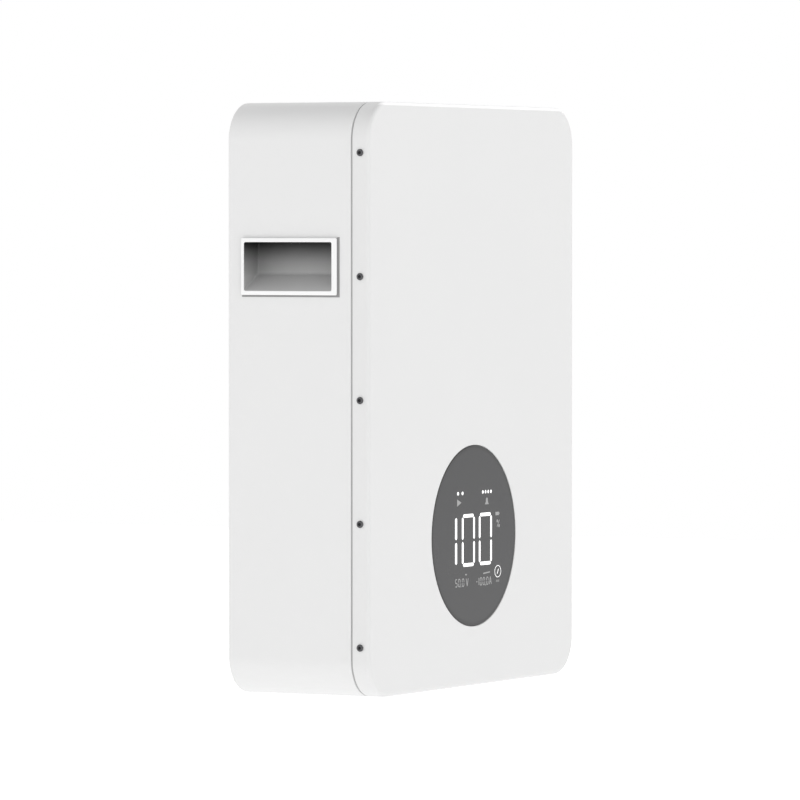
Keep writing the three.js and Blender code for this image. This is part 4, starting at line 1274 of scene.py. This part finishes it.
def powerButton():
    low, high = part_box("power_button")
    r, z = button["radius"], low.z
    bm = turned([(0, high.z), (r - 0.2 * mm, high.z), (r, high.z - 0.2 * mm), (r, z + 0.6 * mm),
                 (r - 0.2 * mm, z + 0.2 * mm), (r - 0.6 * mm, z), (r - 1.2 * mm, z + 0.1 * mm),
                 (r * 0.6, z + 0.35 * mm), (r * 0.3, z + 0.45 * mm), (0, z + 0.5 * mm)],
                footOf("power_button_collar"), button["steps"])
    finished(bm, "powerButton", ["satin"], ["power_button"], "power_cap")


resetButton()
powerCollar()
powerButton()


# ---- pluggable terminal block for dry contacts
dry = {
    "poles": 6,
    "pitch": 3.6 * mm,
    "entry": 2.6 * mm,
    "entryDepth": 6 * mm,
    "screwRadius": 1.3 * mm,
    "screwDepth": 2.2 * mm,
    "rowOffset": 2.6 * mm,
}


def clampScrew(y, top):  # slotted, at x = 0
    r = dry["screwRadius"]
    screw = turned([(0, top + 1.4 * mm), (r, top + 1.4 * mm), (r, top + 0.2 * mm), (r - 0.2 * mm, top),
                    (0, top)], (0, y, 0), 20)
    return cutBy(screw, [block(*span(0, y, 2 * r, 0.25 * mm, top - 1 * mm, top + 0.5 * mm))])


def dryContactBlock():
    low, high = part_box("dry_contact_block")
    middle, face, half = (low + high) / 2, low.z, dry["entry"] / 2
    entryY, screwY, below = middle.y - dry["rowOffset"], middle.y + dry["rowOffset"], face - 1 * mm
    places = placesAlong(middle.x, dry["poles"], dry["pitch"])
    cutters = []
    for x in places:
        entry = span(x, entryY, half, half, below, face + dry["entryDepth"])
        cutters.append(prism(*entry, 0.2 * mm, steps=2))
        cutters.append(post(Vector((x, screwY, 0)), dry["screwRadius"] + 0.2 * mm, below, face + 4 * mm, 20))
    for x in placesAlong(middle.x, dry["poles"] - 1, dry["pitch"]):  # lines between the poles
        lineEnd = (x + 0.12 * mm, high.y + 1 * mm, face + 0.3 * mm)
        cutters.append(block((x - 0.12 * mm, low.y - 1 * mm, below), lineEnd))
    bm = cutBy(block(low, high, 0.4 * mm), cutters)
    screw = clampScrew(screwY, face + dry["screwDepth"])
    merge(bm, rowOf(screw, dry["poles"], (places[0], 0, 0), (dry["pitch"], 0, 0), "zinc"), 1)
    finished(bm, "dryContactBlock", ["green", "nickel"], ["dry_contact_block"])


dryContactBlock()


# ---- ground stud: thread, washer and nut
stud = {
    "radius": 3 * mm,
    "pitch": 1 * mm,
    "threadDepth": 0.45 * mm,
    "tipTaper": 0.7 * mm,
    "around": 24,
    "perPitch": 6,
    "nutAcross": 10 * mm,
    "nutHeight": 5 * mm,
    "washerRadius": 6.5 * mm,
    "washerHeight": 1.6 * mm,
}


def groundStud():
    low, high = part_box("ground_stud")
    foot, around, each, radius = footOf("ground_stud"), stud["around"], stud["perPitch"], stud["radius"]
    rows = int((high.z - low.z) / stud["pitch"] * each)
    loops = []
    for i in range(rows + 1):  # the thread winds once in each pitch and fades at the tip
        z, loop = low.z + (high.z - low.z) * i / rows, []
        for k, t in enumerate(circle(around)):
            phase = (i / each + k / around) % 1
            r = radius - stud["threadDepth"] * abs(2 * phase - 1) - max(0, 1 - i / each) * stud["tipTaper"]
            loop.append(foot + Vector((r * math.cos(t), r * math.sin(t), z)))
        loops.append(loop)
    bm = bmesh.new()
    addLoops(bm, loops)
    w, top = stud["washerRadius"], seat - stud["washerHeight"]
    nutFoot, flat = top - stud["nutHeight"], stud["nutAcross"] / 2
    corner = flat / math.cos(math.pi / 6)
    addRing(bm, [(radius, seat), (w - 0.2 * mm, seat), (w, seat - 0.2 * mm), (w, top + 0.2 * mm),
                 (w - 0.2 * mm, top), (radius, top)], foot, 40)

    def nutLoop(z, cap):  # a hexagon whose corners are turned back to a circle
        reaches = [(min(flat * hexagon(t), cap), t) for t in circle(48)]
        return [foot + Vector((r * math.cos(t), r * math.sin(t), z)) for r, t in reaches]

    addLoops(bm, [nutLoop(top, flat), nutLoop(top - 0.4 * mm, corner), nutLoop(nutFoot + 0.4 * mm, corner),
                  nutLoop(nutFoot, flat), nutLoop(nutFoot, radius + 0.2 * mm)])
    finished(bm, "groundStud", ["nickel"], ["ground_stud"], crease=40)


groundStud()


# ---- pressure valve: a vented cap over a membrane
valve = {"cap": 8 * mm, "neck": 5.8 * mm, "vents": 8, "ventWidth": 1.8 * mm}


def pressureValve():
    low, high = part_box("pressure_valve")
    foot, r, z, half = footOf("pressure_valve"), valve["cap"], low.z, valve["ventWidth"] / 2
    cap = turned([
        (0, z + 0.3 * mm), (r * 0.55, z + 0.3 * mm), (r * 0.6, z), (r - 1 * mm, z),
        (r - 0.3 * mm, z + 0.3 * mm), (r, z + 1 * mm), (r, seat - 1.2 * mm), (r - 0.4 * mm, seat - 0.8 * mm),
        (r - 0.4 * mm, seat), (valve["neck"], seat), (valve["neck"], high.z), (0, high.z)], foot, 64)
    vents = []
    for t in circle(valve["vents"]):
        vents.append(block((r - 0.9 * mm, -half, z + 1.8 * mm), (r + 1 * mm, half, seat - 1.8 * mm)))
        bmesh.ops.transform(vents[-1], verts=vents[-1].verts, matrix=Matrix.Translation(foot)
                            @ Matrix.Rotation(t, 4, "Z"))
    finished(cutBy(cap, vents), "pressureValve", ["black"], ["pressure_valve"])


pressureValve()


# ---- wall bracket, hook rail and spacer: folded galvanised strip
hanging = {
    "strip": 2 * mm,
    "bend": 2.5 * mm,  # to the middle of the sheet
    "edge": 0.2 * mm,
    "lipRise": 30 * mm,
    "hookDrop": 24.3 * mm,
    "slotLength": 20 * mm,
    "slotHeight": 9 * mm,
    "slotInset": (40 * mm, 18 * mm),
    "rivets": 7,
    "rivetRadius": 3.2 * mm,
    "rivetHeight": 1 * mm,
    "rivetUp": 7 * mm,
    "rivetIn": 18 * mm,
}


def offsetLine(line, distance):  # to the left of the way it runs
    moved = []
    for i, point in enumerate(line):
        along = (line[min(i + 1, len(line) - 1)] - line[max(i - 1, 0)]).normalized()
        moved.append(point + Vector((-along.y, along.x)) * distance)
    return moved


def foldedOutline(path, thickness, trim, radius, steps=6):  # section of a bent sheet, from its middle line
    points = [Vector(p) for p in path]
    first, last = (points[1] - points[0]).normalized(), (points[-1] - points[-2]).normalized()
    line = [points[0] + first * trim]
    for before, at, after in zip(points, points[1:], points[2:]):
        a, b = (before - at).normalized(), (after - at).normalized()
        half = a.angle(b) / 2
        centre = at + (a + b).normalized() * radius / math.sin(half)
        start, end = (at + side * radius / math.tan(half) - centre for side in (a, b))
        for i in range(steps + 1):
            share = i / steps
            line.append(centre + (start * (1 - share) + end * share).normalized() * radius)
    line.append(points[-1] - last * trim)
    left, right = (offsetLine(line, side * thickness / 2) for side in (1, -1))
    cap = thickness / 2 - trim
    acrossFirst, acrossLast = (Vector((-along.y, along.x)) * cap for along in (first, last))
    return [points[0] + acrossFirst, *left, points[-1] + acrossLast, points[-1] - acrossLast, *right[::-1],
            points[0] - acrossFirst]


def foldedStrip(path, halfWidth):
    bm = bmesh.new()
    e, t = hanging["edge"], hanging["strip"]
    addLoops(bm, [[Vector((x, p.x, p.y)) for p in foldedOutline(path, thick, e, hanging["bend"])]
                  for x, thick in ((-halfWidth, t - 2 * e), (-halfWidth + e, t), (halfWidth - e, t),
                                   (halfWidth, t - 2 * e))])
    bmesh.ops.recalc_face_normals(bm, faces=bm.faces)
    return bm


def wallBracket():
    low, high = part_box("wall_bracket")
    half, plateTop = hanging["strip"] / 2, high.z - hanging["lipRise"]
    step = plateTop - half
    front, back = low.y + half, high.y - half
    bm = foldedStrip([(back, low.z), (back, step), (front, step), (front, high.z)], (high.x - low.x) / 2)
    inX, inZ = hanging["slotInset"]
    length, height = hanging["slotLength"] / 2, hanging["slotHeight"] / 2
    slots = [prism((x - length, high.y - 5 * mm, z - height), (x + length, high.y + 5 * mm, z + height),
                   height - 0.01 * mm, "Y", 8)
             for x in (low.x + inX, high.x - inX) for z in (low.z + inZ, plateTop - inZ)]
    finished(cutBy(bm, slots), "wallBracket", ["zinc"], ["wall_bracket"], "bracket")


def hangerRail():
    low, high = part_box("hanger_rail")
    half = hanging["strip"] / 2
    bm = foldedStrip([(low.y + half, low.z), (low.y + half, high.z - half), (high.y - half, high.z - half),
                      (high.y - half, high.z - hanging["hookDrop"])], (high.x - low.x) / 2)
    r, h = hanging["rivetRadius"], hanging["rivetHeight"]
    rivet = bmesh.new()
    addTurned(rivet, [(0, -0.1 * mm), (r, -0.1 * mm), (r, 0.2 * h), (r * 0.85, 0.65 * h), (r * 0.5, 0.95 * h),
                      (r * 0.36, h), (r * 0.32, 0.6 * h), (0, 0.6 * h)], (0, 0, 0), 24, "Y")
    first, count = low.x + hanging["rivetIn"], hanging["rivets"]
    merge(bm, rowOf(rivet, count, (first, low.y + hanging["strip"], low.z + hanging["rivetUp"]),
                    (-2 * first / (count - 1), 0, 0), "zinc"), 1)
    finished(bm, "hangerRail", ["zinc", "aluminium"], ["hanger_rail"])


def wallSpacer():
    low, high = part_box("wall_spacer")
    half = hanging["strip"] / 2
    bm = foldedStrip([(low.y, low.z + half), (high.y - half, low.z + half), (high.y - half, high.z - half),
                      (low.y, high.z - half)], (high.x - low.x) / 2)
    finished(bm, "wallSpacer", ["zinc"], ["wall_spacer"])


wallBracket()
hangerRail()
wallSpacer()


# ---- CAD nodes that keep their shape get a real finish
keptFinishes = {
    "display_bezel": "black", "led_module": "black", "display_board": "board", "interface_board": "board",
    "bms_board": "board", "bms_heatsink": "aluminium", "pack_plate_bottom": "aluminium",
    "pack_plate_top": "aluminium",
}
for name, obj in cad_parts.items():
    finishName = keptFinishes.get(name, "film" if name.startswith("cell_") else "white")
    if not obj.material_slots:
        obj.data.materials.append(finishes[finishName])
    for materialSlot in obj.material_slots:
        materialSlot.material = finishes[finishName]
print("CAD nodes finished")
